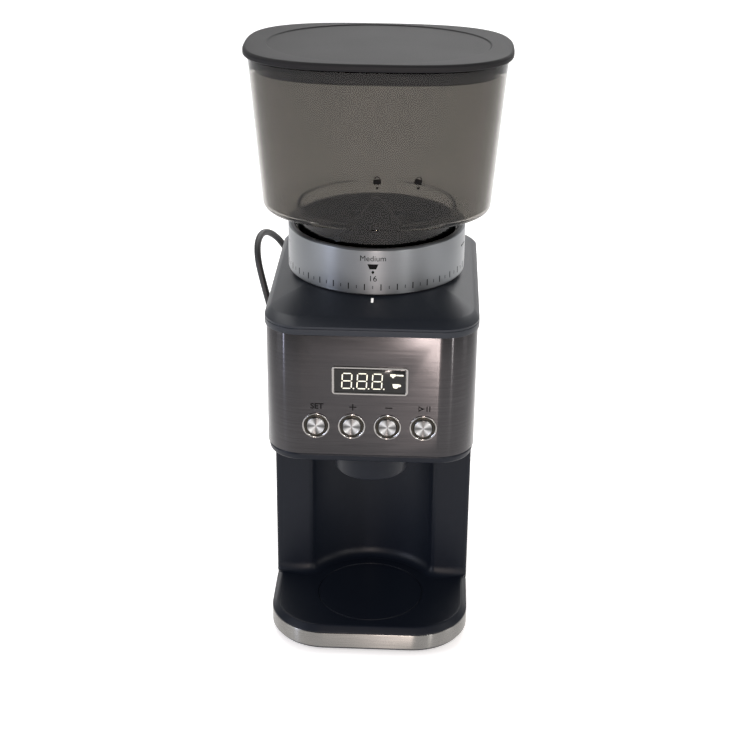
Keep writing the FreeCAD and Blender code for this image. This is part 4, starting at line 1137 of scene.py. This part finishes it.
    def build_key(self, key: str, x: float) -> None:
        """A key: a bright bezel, a dark ring inside it, and a spun cap with a flange behind.

        Args:
            key: Its name.
            x: Its place across.
        """
        face, radius = -self.front, self.bezel_radius
        section = rounded([(radius, face + 5.0, 0.2), (radius, face - 0.55, 0.35),
                           (radius - 0.55, face - 0.85, 0.3), (radius - 1.25, face - 0.3, 0.25),
                           (radius - 1.35, face + 5.0, 0.2)], closed=True, steps=4)
        bezel = surface(f"bezel_{key}", turned(section, x, self.key_level, 72, Facing.BACK), wrap_rows=True)
        self.keep(bezel, "chassis", "chrome_trim", ["button_bezels"] if key == self.keys[0] else [])
        ring = rounded([(radius - 1.4, face + 5.0, 0.1), (radius - 1.4, face - 0.05, 0.2),
                        (7.0, face + 0.15, 0.3), (6.15, face - 0.15, 0.2), (6.1, face + 5.0, 0.1)],
                        closed=True, steps=4)
        self.keep(surface(f"ring_{key}", turned(ring, x, self.key_level, 72, Facing.BACK), wrap_rows=True),
                  "chassis", "chrome_trim", finish="ring_dark")
        cap = rounded([(0, face - 1.02, 0), (4.9, face - 1.12, 0.6), (5.35, face - 1.38, 0.2),
                       (5.72, face - 1.05, 0.3), (5.72, face + 5.6, 0.1), (7.3, face + 5.6, 0.2),
                       (7.3, face + 6.65, 0.2), (0, face + 6.65, 0)],
                      steps=4)
        dense = np.concatenate([np.stack([np.linspace(0, 4.4, 12), np.full(12, face - 1.02)], 1), cap[1:]])
        self.keep(surface(f"cap_{key}", turned(dense, x, self.key_level, 96, Facing.BACK)), f"key_{key}",
                  "spun_cap", [f"button_{key}"])

    def build_markings(self) -> None:
        """Generic markings over the keys: a word, a plus, a minus, and start and pause."""
        level = self.key_level + 13.6
        bar = np.array([(-1.9, -0.28), (1.9, -0.28), (1.9, 0.28), (-1.9, 0.28)])
        play = [np.array([(-3.1, -1.5), (-0.2, 0), (-3.1, 1.5), (-3.1, 0.9), (-1.5, 0), (-3.1, -0.9)]),
                np.array([(-3.35, -1.6), (-2.9, -1.6), (-2.9, 1.6), (-3.35, 1.6)]),
                np.array([(0.9, -1.5), (1.45, -1.5), (1.45, 1.5), (0.9, 1.5)]),
                np.array([(2.4, -1.5), (2.95, -1.5), (2.95, 1.5), (2.4, 1.5)])]
        groups = [lettering("SET", 3.7, 0.025), [bar, bar[:, ::-1] * [1, -1]], [bar], play]
        sizes = (1.0, 1.2, 1.2, 1.2)
        shapes = [shape * sizes[n] + [(n - 1.5) * self.key_pitch + 0.7, level]
                  for n, group in enumerate(groups) for shape in group]

        def on_panel(points: Array, lift: float) -> Array:
            """Lays printed shapes on the steel panel.

            Args:
                points: Points across and up, in millimetres.
                lift: How far they lie above the surface.

            Returns:
                Their places.
            """
            return np.stack([points[:, 0], np.full(len(points), -self.front - lift), points[:, 1]], 1)

        self.keep(plates("panel_print", shapes, on_panel, 0.05), "chassis", "brushed_steel", finish="ink")


# ---------------------------------------------------------------- dial


@dataclass
class Dial(Assembly):
    """The grind dial: a satin ring with a bright rolled lip, its scale and its setting marks."""

    paints: Paintbox
    long_tick: tuple[float, float, float] = (0.70, 251.1, 255.3)
    short_tick: tuple[float, float, float] = (0.42, 252.0, 254.2)
    radius: float = 58.5
    low: float = 247.7
    high: float = 278.6
    step: float = 5.1429
    ticks: int = 31

    def build(self) -> None:
        """Makes the dial's pieces."""
        r, low, high = self.radius, self.low, self.high
        section = rounded([(r - 1.6, low, 0.2), (r - 0.5, low, 0.4), (r, low + 0.8, 0.4),
                           (r, high - 1.1, 0.7), (r - 1.3, high, 0.7), (r - 3.4, high - 0.1, 0.5),
                           (r - 3.6, high - 1.4, 0.2), (r - 1.7, high - 1.4, 0.2)], closed=True, steps=5)
        self.keep(surface("dial_skin", turned(section, segments=192), wrap_rows=True), "dial",
                  "satin_aluminium", ["dial_ring"])
        self.build_scale()

    def on_ring(self, points: Array, lift: float) -> Array:
        """Wraps flat shapes round the ring: across becomes an angle from the front, and up stays up.

        Args:
            points: Points across and up, in millimetres.
            lift: How far outside the ring they lie.

        Returns:
            Their places.
        """
        turn = points[:, 0] / self.radius
        reach = self.radius + lift
        return np.stack([reach * np.sin(turn), AXIS_Y - reach * np.cos(turn), points[:, 1]], 1)

    def build_scale(self) -> None:
        """Printed scale: short and longer lines in turn, the middle number and small pictures."""
        shapes = []
        arc = math.radians(self.step) * self.radius
        for n in range(-(self.ticks // 2), self.ticks // 2 + 1):
            longer = n % 2
            shapes.append(self.tick(n * arc, *(self.long_tick if longer else self.short_tick)))
        shapes += [s + [0, 258.9] for s in lettering("16", 3.8)]
        shapes.append(np.array([(0, 262.0), (1.0, 263.4), (0, 264.8), (-1.0, 263.4)]))
        edges = np.linspace(-1, 1, 9)
        shapes += [np.array([(3.5 * a, 268.8), (3.5 * b, 268.8), (2.1 * b, 265.4), (2.1 * a, 265.4)])
                   for a, b in zip(edges, edges[1:])]
        shapes += [s + [0, 272.4] for s in lettering("Medium", 3.6)]
        far = 15 * arc
        for side, wide in ((-1, 0.75), (1, 1.5)):
            for k in range(3):
                shapes.append(np.array([(-wide, 0), (0, wide * 0.6), (wide, 0), (0, -wide * 0.6)])
                              + [side * far + (k - 1) * 3.2, 267.5])
        self.keep(plates("dial_print", shapes, self.on_ring, 0.05), "dial", "satin_aluminium", finish="ink")

    def tick(self, x: float, wide: float, low: float, high: float) -> Array:
        """One upright line of the scale.

        Args:
            x: Its place across.
            wide: Its width.
            low: Its lower end.
            high: Its upper end.

        Returns:
            Its outline.
        """
        return np.array([(x - wide / 2, low), (x + wide / 2, low), (x + wide / 2, high),
                         (x - wide / 2, high)])


# ---------------------------------------------------------------- hopper and lid


@dataclass
class Hopper(Assembly):
    """The smoked hopper, its guard cone, its two lock marks, the lid and the seal."""

    paints: Paintbox
    neck: float = 52.3
    wall: float = 2.2
    neck_low: float = 262.4
    floor: float = 289.0
    shoulder: float = 294.5
    top: float = 390.4
    low_half: tuple[float, float] = (75.0, 51.8)
    high_half: tuple[float, float] = (82.3, 56.6)
    low_power: float = 2.43
    high_power: float = 2.9
    lid_half: tuple[float, float] = (85.2, 58.6)
    lid: tuple[float, float] = (390.8, 395.4)

    def build(self) -> None:
        """Makes the hopper's pieces."""
        self.build_shell()
        self.build_lugs()
        self.build_guard()
        self.build_marks()
        self.build_lid()
        self.build_seal()

    def wall_rings(self, inset: float, floor: float, top: float) -> Array:
        """The hopper's surface above its neck.

        The floor runs level from the neck's circle to the side wings, turns up through a quarter round, and
        the wall then widens evenly while its outline grows squarer.

        Args:
            inset: How far inside the outer surface it lies.
            floor: The height of the floor.
            top: The height of the last ring.

        Returns:
            The surface's points, rings by points by three.
        """
        radius = self.shoulder - floor
        neck = self.neck - inset
        turn = np.radians(np.linspace(0, 90, 8))
        drawn, level = radius * (1 - np.sin(turn)), self.shoulder - radius * np.cos(turn)
        low_x, low_y = self.low_half[0] - inset, self.low_half[1] - inset
        wing = np.stack([OvalPlan(low_x - d, low_y, self.low_power).ring(0.0)[0] for d in drawn])
        circle = OvalPlan(neck, neck, 2.0).ring(0.0)[0]
        share = np.linspace(0.0, 0.94, 6)[:, None, None]
        flat = circle[None] * (1 - share) + wing[:1] * share
        climb = np.linspace(0, 1, 12)[1:, None, None]
        high = OvalPlan(self.high_half[0] - inset, self.high_half[1] - inset, self.high_power).ring(0.0)[0]
        rise = wing[-1:] * (1 - climb) + high[None] * climb
        heights = np.concatenate([np.full(6, floor), level,
                                  self.shoulder + (top - self.shoulder) * climb[:, 0, 0]])
        rings = np.concatenate([flat, wing, rise])
        return np.concatenate([rings, np.broadcast_to(heights[:, None, None], (*rings.shape[:2], 1))], -1)

    def build_shell(self) -> None:
        """The hopper: neck and flange, floor and walls outside, a rounded rim, and the same surfaces
        inside."""
        neck = self.neck
        line = rounded([(neck - 0.1, self.neck_low, 0.0), (neck, self.neck_low + 0.3, 0), (neck, 272.6, 0.2),
                        (neck + 1.2, 272.7, 0.4), (neck + 1.2, 275.0, 0.4), (neck, 275.1, 0.3),
                        (neck, self.floor - 1.6, 0.0)], steps=4)
        plan = OvalPlan(0.0, 0.0, 2.0)
        lower = np.concatenate([carried(plan, np.stack([-line[:, 0], line[:, 1]], 1))])
        outer = self.wall_rings(0.0, self.floor, self.top - 0.4)
        outer[0, :, 2] -= 0.5
        inner = self.wall_rings(self.wall, self.floor + self.wall, self.top - 0.4)
        rim = np.stack([outer[-1] * 0.8 + inner[-1] * 0.2, outer[-1] * 0.2 + inner[-1] * 0.8])
        rim[..., 2] = self.top
        bore = carried(plan, np.array([(-(neck - self.wall), self.floor + self.wall - 0.6),
                                       (-(neck - self.wall), self.neck_low)]))
        grid = np.concatenate([lower, outer, rim, inner[::-1], bore])
        shell = surface("smoked_shell", grid, wrap_rows=True, sharp=50)
        self.keep(shell, "hopper_body", "smoked_plastic", ["hopper"])

    def build_lugs(self) -> None:
        """Three lugs under the neck that sit in the lock ring's notches."""
        made = []
        for angle in (90, 210, 330):
            turn = np.radians(np.linspace(angle - 9.5, angle + 9.5, 12))
            section = rounded([(self.neck - 2.1, 256.6, 0.4), (self.neck - 0.1, 256.6, 0.4),
                               (self.neck - 0.1, self.neck_low, 0), (self.neck - 2.1, self.neck_low, 0)],
                               closed=True,
                              steps=3)
            grid = np.stack([section[:, :1] * np.cos(turn), section[:, :1] * np.sin(turn) + AXIS_Y,
                             np.broadcast_to(section[:, 1:2], (len(section), len(turn)))], -1)
            made.append(surface("lug", grid.transpose(1, 0, 2), caps=(True, True)))
        self.keep(joined("neck_lugs", made), "hopper_body", "smoked_plastic")

    def build_guard(self) -> None:
        """The guard: a hollow cone with a blunt tip, eight blades from under it, and a ring round them."""
        low, high = self.neck_low + 0.25, self.shoulder - 0.6
        section = rounded([(23.6, low, 0.3), (26, low, 0.5), (25.2, low + 2.2, 1.0), (1.6, high, 1.4),
                           (0.0, high, 0.0), (0.0, high - 3.4, 0.0)], steps=6)
        cone = surface("cone", turned(section, segments=96), wrap_rows=True)
        ring_line = rounded([(47.8, low, 0.3), (49.8, low, 0.3), (49.8, low + 5.8, 0.6),
                             (47.8, low + 5.8, 0.6)],
                            closed=True, steps=4)
        ring = surface("ring", turned(ring_line, segments=128), wrap_rows=True)
        blades = [self.blade(45 * n + 22.5, low) for n in range(8)]
        self.keep(joined("bean_guard", [cone, ring, *blades]), "hopper_body", "black_plastic",
                  ["hopper_guard"])

    def blade(self, angle: float, low: float) -> bpy.types.Object:
        """One upright blade of the guard: a thin wedge whose top edge slopes down as it goes out.

        Args:
            angle: Its direction, in degrees.
            low: Its lower edge.

        Returns:
            The new object.
        """
        reach = np.linspace(21.8, 48.4, 10)
        top = low + 8.2 - 2.4 * ((reach - 21.8) / 26.6) ** 1.5
        side = np.array([-0.8, -0.75, -0.35, 0.35, 0.75, 0.8])
        lift = np.array([0.0, 0.92, 1.0, 1.0, 0.92, 0.0])
        height = low + (top - low)[:, None] * lift[None]
        turn = math.radians(angle)
        x = reach[:, None] * math.cos(turn) - side[None] * math.sin(turn)
        y = reach[:, None] * math.sin(turn) + side[None] * math.cos(turn) + AXIS_Y
        return surface("blade", np.stack([x, y, height], -1), caps=(True, True))

    def on_wall(self, points: Array, lift: float) -> Array:
        """Lays flat shapes on the hopper's front wall, by the wall's own formula at each height.

        Args:
            points: Points across and up, in millimetres.
            lift: How far in front of the wall they lie.

        Returns:
            Their places.
        """
        share = (points[:, 1] - self.shoulder) / (self.top - self.shoulder)
        half_x = self.low_half[0] + (self.high_half[0] - self.low_half[0]) * share
        half_y = self.low_half[1] + (self.high_half[1] - self.low_half[1]) * share
        power = self.low_power + (self.high_power - self.low_power) * share
        deep = half_y * (1 - np.abs(points[:, 0] / half_x) ** power) ** (1 / power)
        return np.stack([points[:, 0], AXIS_Y - deep - lift, points[:, 1]], 1)

    def build_marks(self) -> None:
        """A closed and an open padlock, each over a small arrow."""
        shapes = []
        grown, level = 1.25, 321.5
        for x, tilt in ((1.9, 0.0), (27.4, math.radians(-14))):
            leaning = np.array([(math.cos(tilt), math.sin(tilt)), (-math.sin(tilt), math.cos(tilt))]) * grown
            body = rounded([(-1.9, -1.6, 0.4), (1.9, -1.6, 0.4), (1.9, 1.1, 0.4), (-1.9, 1.1, 0.4)],
                           closed=True, steps=3)
            turn = np.linspace(0, math.pi, 14)
            bow = np.concatenate([np.stack([1.35 * np.cos(turn), 1.2 + 1.5 * np.sin(turn)], 1),
                                  np.stack([-0.95 * np.cos(turn), 1.2 + 1.1 * np.sin(turn)], 1)])
            arrow = np.array([(0, -4.4), (0.9, -3.0), (-0.9, -3.0)])
            shapes += [shape + [x, level] for shape in (body @ leaning, bow @ leaning, arrow * grown)]
        self.keep(plates("lock_print", shapes, self.on_wall, 0.03), "hopper_body", "smoked_plastic",
                  finish="ink")

    def build_lid(self) -> None:
        """The lid: a soft rim, a shallow oval step on top, and a plug wall underneath."""
        low, high = self.lid
        rim = OvalPlan(*self.lid_half, self.high_power)
        edge = carried(rim,
                       rounded([(7.6, low, 0), (0.9, low, 0.5), (0.0, low + 0.9, 0.6), (0.0, high - 1.3, 1.0),
                                     (1.5, high, 1.6), (5.0, high - 0.02, 0)], steps=6))
        step = OvalPlan(self.lid_half[0] - 14.3, self.lid_half[1] - 5.7, 2.05)
        drop = carried(step,
                       rounded([(-1.2, high - 0.02, 0), (-0.5, high - 0.05, 0.3), (0.5, high - 0.7, 0.3),
                                      (2.0, high - 0.72, 0), (50.0, high - 0.72, 0)], steps=4))
        plug = OvalPlan(75.5, 49.8, self.high_power)
        under = carried(plug, rounded([(40.0, low + 0.1, 0), (2.0, low + 0.1, 0.4), (2.0, low - 8.0, 0.3),
                                       (0.0, low - 8.0, 0.5), (0.0, low, 0.3)], steps=4))
        grid = np.concatenate([under, edge, drop])
        self.keep(surface("lid_shell", grid, caps=(True, True), sharp=38), "lid", "lid_plastic",
                  ["hopper_lid"])

    def build_seal(self) -> None:
        """The rubber seal round the lid's plug wall: a band with two soft lips."""
        low, high = self.lid[0] - 9.6, self.lid[0] - 0.6
        plan = OvalPlan(78.9, 53.2, self.high_power)
        section = rounded([(3.3, low + 0.6, 0.2), (1.2, low, 0.5), (0.0, low + 0.8, 0.6),
                           (0.6, low + 2.6, 0.5), (0.6, high - 3.0, 0.5), (0.0, high - 1.2, 0.6),
                           (0.8, high, 0.4), (3.3, high, 0.2)],
                          closed=True, steps=4)
        self.keep(surface("seal_band", carried(plan, section), wrap_rows=True), "lid", "rubber_black",
                  ["lid_seal"])


# ---------------------------------------------------------------- mains lead

CORD_ROUTE = [
    (-38, 114.5, 165), (-38, 129, 165), (-44, 142.5, 166), (-54.5, 152, 171), (-66, 158.5, 181),
    (-74, 161, 195), (-82.7, 156.7, 209.5), (-90.3, 142.9, 218.6), (-93.8, 125.1, 218), (-92.5, 110.5, 208),
    (-87.5, 104, 190.5), (-82, 102.5, 169), (-76, 103, 142), (-70, 105, 110), (-65, 108.5, 76),
    (-61.5, 112.5, 46), (-58.5, 118, 25), (-53.5, 125, 11.5), (-47.5, 134.5, 4.6), (-42, 146, 2.9),
    (-39, 158.5, 2.9), (-38.5, 171, 2.9),
]


@dataclass
class Lead(Assembly):
    """The mains lead: a ribbed strain relief, the free cord with its coil, and the plug."""

    paints: Paintbox
    diameter: float = 5.0
    gland: tuple[float, float, float] = (-38.0, 93.5, 165.0)
    sleeve: float = 21.0
    coil_middle: tuple[float, float] = (-6.0, 172.0)
    coil_radius: float = 27.5
    layer_low: float = 2.9
    layer_high: float = 8.0
    points_per_turn: int = 16

    def build(self) -> None:
        """Makes the lead's pieces."""
        relief = self.build_relief()
        plug = self.build_plug()
        path = self.follow(self.route())
        cord = self.build_cord(path)

    def coil_points(self) -> list[tuple[float, float, float]]:
        """The coil: two turns that close in on the surface, a step up, two turns that open out, and a last
        quarter.

        Returns:
            The control points, in millimetres.
        """
        per_turn, wide = self.points_per_turn, self.diameter
        count = int(per_turn * 4.25)
        made = []
        for n in range(2, count + 1):
            turns = n / per_turn
            inward = min(turns, max(4.0 - turns, 0.0))
            radius = self.coil_radius + wide - wide * min(inward, 2.0)
            rise = min(max((turns - 1.85) / 0.3, 0.0), 1.0)
            angle = math.pi - 2 * math.pi * turns
            made.append((self.coil_middle[0] + radius * math.cos(angle),
                         self.coil_middle[1] + radius * math.sin(angle),
                         self.layer_low + (self.layer_high - self.layer_low) * rise))
        return made

    def route(self) -> list[tuple[float, float, float]]:
        """The whole lead's control points: the free stretch, the coil, and the short run into the plug.

        Returns:
            The control points, in millimetres.
        """
        back = self.coil_middle[1] + self.coil_radius + self.diameter
        first = self.coil_middle[0] + 9
        return [*CORD_ROUTE, *self.coil_points(), (first, back, self.layer_high - 0.2),
                (first + 9, back, 7.5)]

    def follow(self, points: list[tuple[float, float, float]]) -> Array:
        """Reads closely spaced points from the NURBS spline through the route.

        Args:
            points: The spline's control points, in millimetres.

        Returns:
            The points of the cord's middle line, in millimetres.
        """
        curve = bpy.data.curves.new("route", "CURVE")
        curve.dimensions, curve.resolution_u = "3D", 8
        spline = curve.splines.new("NURBS")
        spline.points.add(len(points) - 1)
        weights = np.ones((len(points), 1))
        spline.points.foreach_set("co", np.hstack([np.array(points, float) * MM, weights]).ravel())
        spline.order_u = 3
        spline.use_endpoint_u = True
        guide = bpy.data.objects.new("route", curve)
        bpy.context.scene.collection.objects.link(guide)
        bpy.context.view_layer.update()
        mesh = bpy.data.meshes.new_from_object(guide.evaluated_get(bpy.context.evaluated_depsgraph_get()))
        line = np.zeros(len(mesh.vertices) * 3)
        mesh.vertices.foreach_get("co", line)
        bpy.data.objects.remove(guide)
        bpy.data.meshes.remove(mesh)
        line = line.reshape(-1, 3) / MM
        steps = np.linalg.norm(np.diff(line, axis=0), axis=1) > 1e-4
        return line[np.concatenate([[True], steps])]

    def build_cord(self, path: Array) -> bpy.types.Object:
        """The cord's skin: a circle carried along the middle line, with a frame that turns as little as it
        can.

        Args:
            path: The middle line, in millimetres.

        Returns:
            The new object.
        """
        ahead = np.gradient(path, axis=0)
        ahead /= np.linalg.norm(ahead, axis=1)[:, None]
        side = np.zeros_like(path)
        side[0] = np.cross(ahead[0], (0, 0, 1))
        for n in range(1, len(path)):
            side[n] = side[n - 1] - ahead[n] * (side[n - 1] @ ahead[n])
            side[n] /= np.linalg.norm(side[n])
        side[0] /= np.linalg.norm(side[0])
        above = np.cross(side, ahead)
        turn = np.linspace(0, 2 * math.pi, 18, endpoint=False)
        radius = self.diameter / 2
        ring = np.cos(turn)[None, :, None] * side[:, None] + np.sin(turn)[None, :, None] * above[:, None]
        cord = surface("mains_lead", path[:, None] + radius * ring, caps=(True, True))
        return self.keep(cord, "chassis", "cord_black", ["power_cord", "cord_coil"])

    def build_relief(self) -> bpy.types.Object:
        """The strain relief: a tapered sleeve with five soft ribs, and a collar in the housing's wall.

        Returns:
            The new object.
        """
        x, wall, z = self.gland
        line = [(0, wall - 5, 0), (5.4, wall - 5, 0.3), (5.4, wall + 0.3, 0.4), (4.9, wall + 1.2, 0.4)]
        for n in range(5):
            along = wall + 2.4 + 3.6 * n
            reach = 4.85 - 0.28 * n
            line += [(reach, along, 0.5), (reach, along + 1.7, 0.5), (reach - 0.9, along + 2.1, 0.3),
                     (reach - 0.95, along + 3.0, 0.3)]
        line += [(3.3, wall + self.sleeve, 0.5), (0, wall + self.sleeve, 0)]
        grid = turned(rounded(line, steps=4), x, z, 40, Facing.BACK)
        return self.keep(surface("ribbed_relief", grid), "chassis", "cord_black", ["strain_relief"])

    def build_plug(self) -> bpy.types.Object:
        """The flat plug: ovals that grow from the cord to a waisted grip and end in a flat face.

        Returns:
            The new object.
        """
        low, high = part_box("plug_body")
        start, end = low.x / MM, high.x / MM
        y, z = (low.y + high.y) / 2 / MM, 7.15
        share = np.array([0, 0.02, 0.15, 0.30, 0.36, 0.42, 0.55, 0.75, 0.92, 0.97, 1.0])
        wide = np.array([2.9, 3.2, 3.8, 5.0, 6.4, 7.1, 6.5, 6.3, 7.2, 7.2, 6.7])
        tall = np.array([2.9, 3.2, 3.7, 4.6, 5.6, 6.2, 5.3, 5.1, 6.3, 6.3, 5.9])
        power = np.array([2, 2, 2, 2.2, 2.5, 2.8, 3, 3.2, 3.4, 3.4, 3.4])[:, None]
        turn = np.linspace(0, 2 * math.pi, 48, endpoint=False)[None]
        across = np.sign(np.cos(turn)) * np.abs(np.cos(turn)) ** (2 / power) * wide[:, None]
        up = np.sign(np.sin(turn)) * np.abs(np.sin(turn)) ** (2 / power) * tall[:, None]
        along = np.broadcast_to((start + (end - start) * share)[:, None], across.shape)
        plug = surface("flat_plug", np.stack([along, y + across, z + up], -1), caps=(True, True), sharp=50)
        return self.keep(plug, "chassis", "cord_black", ["plug_body"])


# ---------------------------------------------------------------- studio and the rest


@dataclass(frozen=True)
class Lamp:
    """An area lamp: its place, aim and size are in metres, and its power is in watts."""

    name: str
    place: tuple[float, float, float]
    aim: tuple[float, float, float]
    wide: float
    tall: float
    watts: float
    colour: Colour

    def build(self) -> None:
        """Makes the lamp, which light that passes through the hopper doesn't see."""
        lamp = bpy.data.lights.new(self.name, "AREA")
        lamp.shape, lamp.size, lamp.size_y = "RECTANGLE", self.wide, self.tall
        lamp.energy, lamp.color = self.watts, self.colour
        holder = bpy.data.objects.new(self.name, lamp)
        holder.location = self.place
        direction = Vector(np.array(self.aim) - np.array(self.place))
        holder.rotation_euler = direction.to_track_quat("-Z", "Y").to_euler()
        holder.visible_transmission = False
        bpy.context.scene.collection.objects.link(holder)


@dataclass
class Studio:
    """The camera, the pale floor that curves up behind, and soft lights."""

    eye: tuple[float, float, float] = (36.57, -978.66, 621.70)
    pitch: float = 24.93
    yaw: float = 2.139
    roll: float = 0.626
    focal: float = 75.27
    floor_glow: float = 0.42
    world_glow: float = 0.30
    floor_grey: float = 0.93
    lamps: tuple[Lamp, ...] = (
        Lamp("top_soft", (-0.3, 0.6, 1.5), (0.0, 0.0, 0.2), 1.0, 0.9, 9.0, (1.0, 0.99, 0.97)),
        Lamp("left_soft", (-1.5, -0.5, 0.8), (0.0, 0.0, 0.2), 0.5, 1.3, 5.0, (0.93, 0.96, 1.0)),
        Lamp("right_soft", (1.6, -0.3, 0.9), (0.0, 0.0, 0.2), 0.5, 1.3, 6.0, (1.0, 0.97, 0.94)),
        Lamp("warm_strip", (0.068, -2.0, 0.9), (0.05, 0.0, 0.2), 0.05, 1.8, 24.0, (1.0, 0.86, 0.80)),
        Lamp("right_strip", (1.25, -1.6, 0.8), (0.0, 0.0, 0.2), 0.05, 1.5, 10.0, (1.0, 0.97, 0.94)),
        Lamp("cool_strip", (-1.7, -1.1, 0.7), (0.0, 0.0, 0.2), 0.10, 1.5, 12.0, (0.75, 0.80, 1.0)),
        Lamp("back_soft", (0.3, 1.4, 1.2), (0.0, 0.0, 0.25), 1.2, 0.8, 8.0, (1.0, 1.0, 1.0)),
    )

    def build(self) -> None:
        """Makes the stage, the lights and the camera."""
        self.build_stage()
        for lamp in self.lamps:
            lamp.build()
        world = bpy.data.worlds.new("studio")
        world.use_nodes = True
        world.node_tree.nodes["Background"].inputs["Color"].default_value = (1, 1, 1, 1)
        world.node_tree.nodes["Background"].inputs["Strength"].default_value = self.world_glow
        bpy.context.scene.world = world
        bpy.context.scene.view_settings.view_transform = "Standard"
        self.build_camera()

    def build_stage(self) -> None:
        """The floor: a wide sheet that runs level and then curves up behind the object."""
        line = rounded([(-6.0, 0.0, 0), (3.2, 0.0, 1.6), (3.2, 4.5, 0)], steps=24)
        across = np.array([-6.0, 6.0])
        grid = np.stack(np.broadcast_arrays(across[None], line[:, :1], line[:, 1:2]), -1) / MM
        floor = surface("pale_floor", grid, wrap_columns=False)
        facing_out(floor, (0.0, 9000.0, -9000.0))
        material = bpy.data.materials.new("pale_floor")
        material.use_nodes = True
        shader = material.node_tree.nodes["Principled BSDF"]
        shader.inputs["Base Color"].default_value = (*[self.floor_grey] * 3, 1)
        shader.inputs["Roughness"].default_value = 0.9
        shader.inputs["Emission Color"].default_value = (1, 1, 1, 1)
        shader.inputs["Emission Strength"].default_value = self.floor_glow
        floor.data.materials.append(material)

    def build_camera(self) -> None:
        """The camera at the viewing angle: it looks down and a little to the left, with a small roll."""
        pitch, yaw, roll = (math.radians(a) for a in (self.pitch, self.yaw, self.roll))
        ahead = np.array([-math.sin(yaw) * math.cos(pitch), math.cos(yaw) * math.cos(pitch),
                          -math.sin(pitch)])
        right = np.cross(ahead, (0, 0, 1))
        right /= np.linalg.norm(right)
        above = np.cross(right, ahead)
        level = math.cos(roll) * right + math.sin(roll) * above
        upright = -math.sin(roll) * right + math.cos(roll) * above
        lens = bpy.data.cameras.new("view")
        lens.lens, lens.sensor_width = self.focal, SENSOR_WIDTH
        lens.clip_start, lens.clip_end = 0.01, 50
        camera = bpy.data.objects.new("view", lens)
        turn = np.stack([level, upright, -ahead], 1)
        camera.rotation_euler = Matrix(turn.tolist()).to_euler()
        camera.location = [c * MM for c in self.eye]
        bpy.context.scene.collection.objects.link(camera)
        bpy.context.scene.camera = camera


class Works(Assembly):
    """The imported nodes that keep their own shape: the drive, the burrs, the boards and small trim."""

    def build(self) -> None:
        """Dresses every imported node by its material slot."""
        slots = {entry["node"]: entry["material_slot"] for entry in frame["record"]["subparts"]}
        for name, node in frame["nodes"].items():
            self.paints.dress(node, slots[name])


def main() -> None:
    """Builds everything in order."""
    logging.basicConfig(level=logging.INFO, format="%(message)s")
    paints = Paintbox()
    Studio().build()
    Works(paints).build()
    for assembly in (Lead(paints), Base(paints), Housing(paints), Head(paints), Dial(paints), Hopper(paints)):
        assembly.build()


if __name__ == "__main__":
    main()
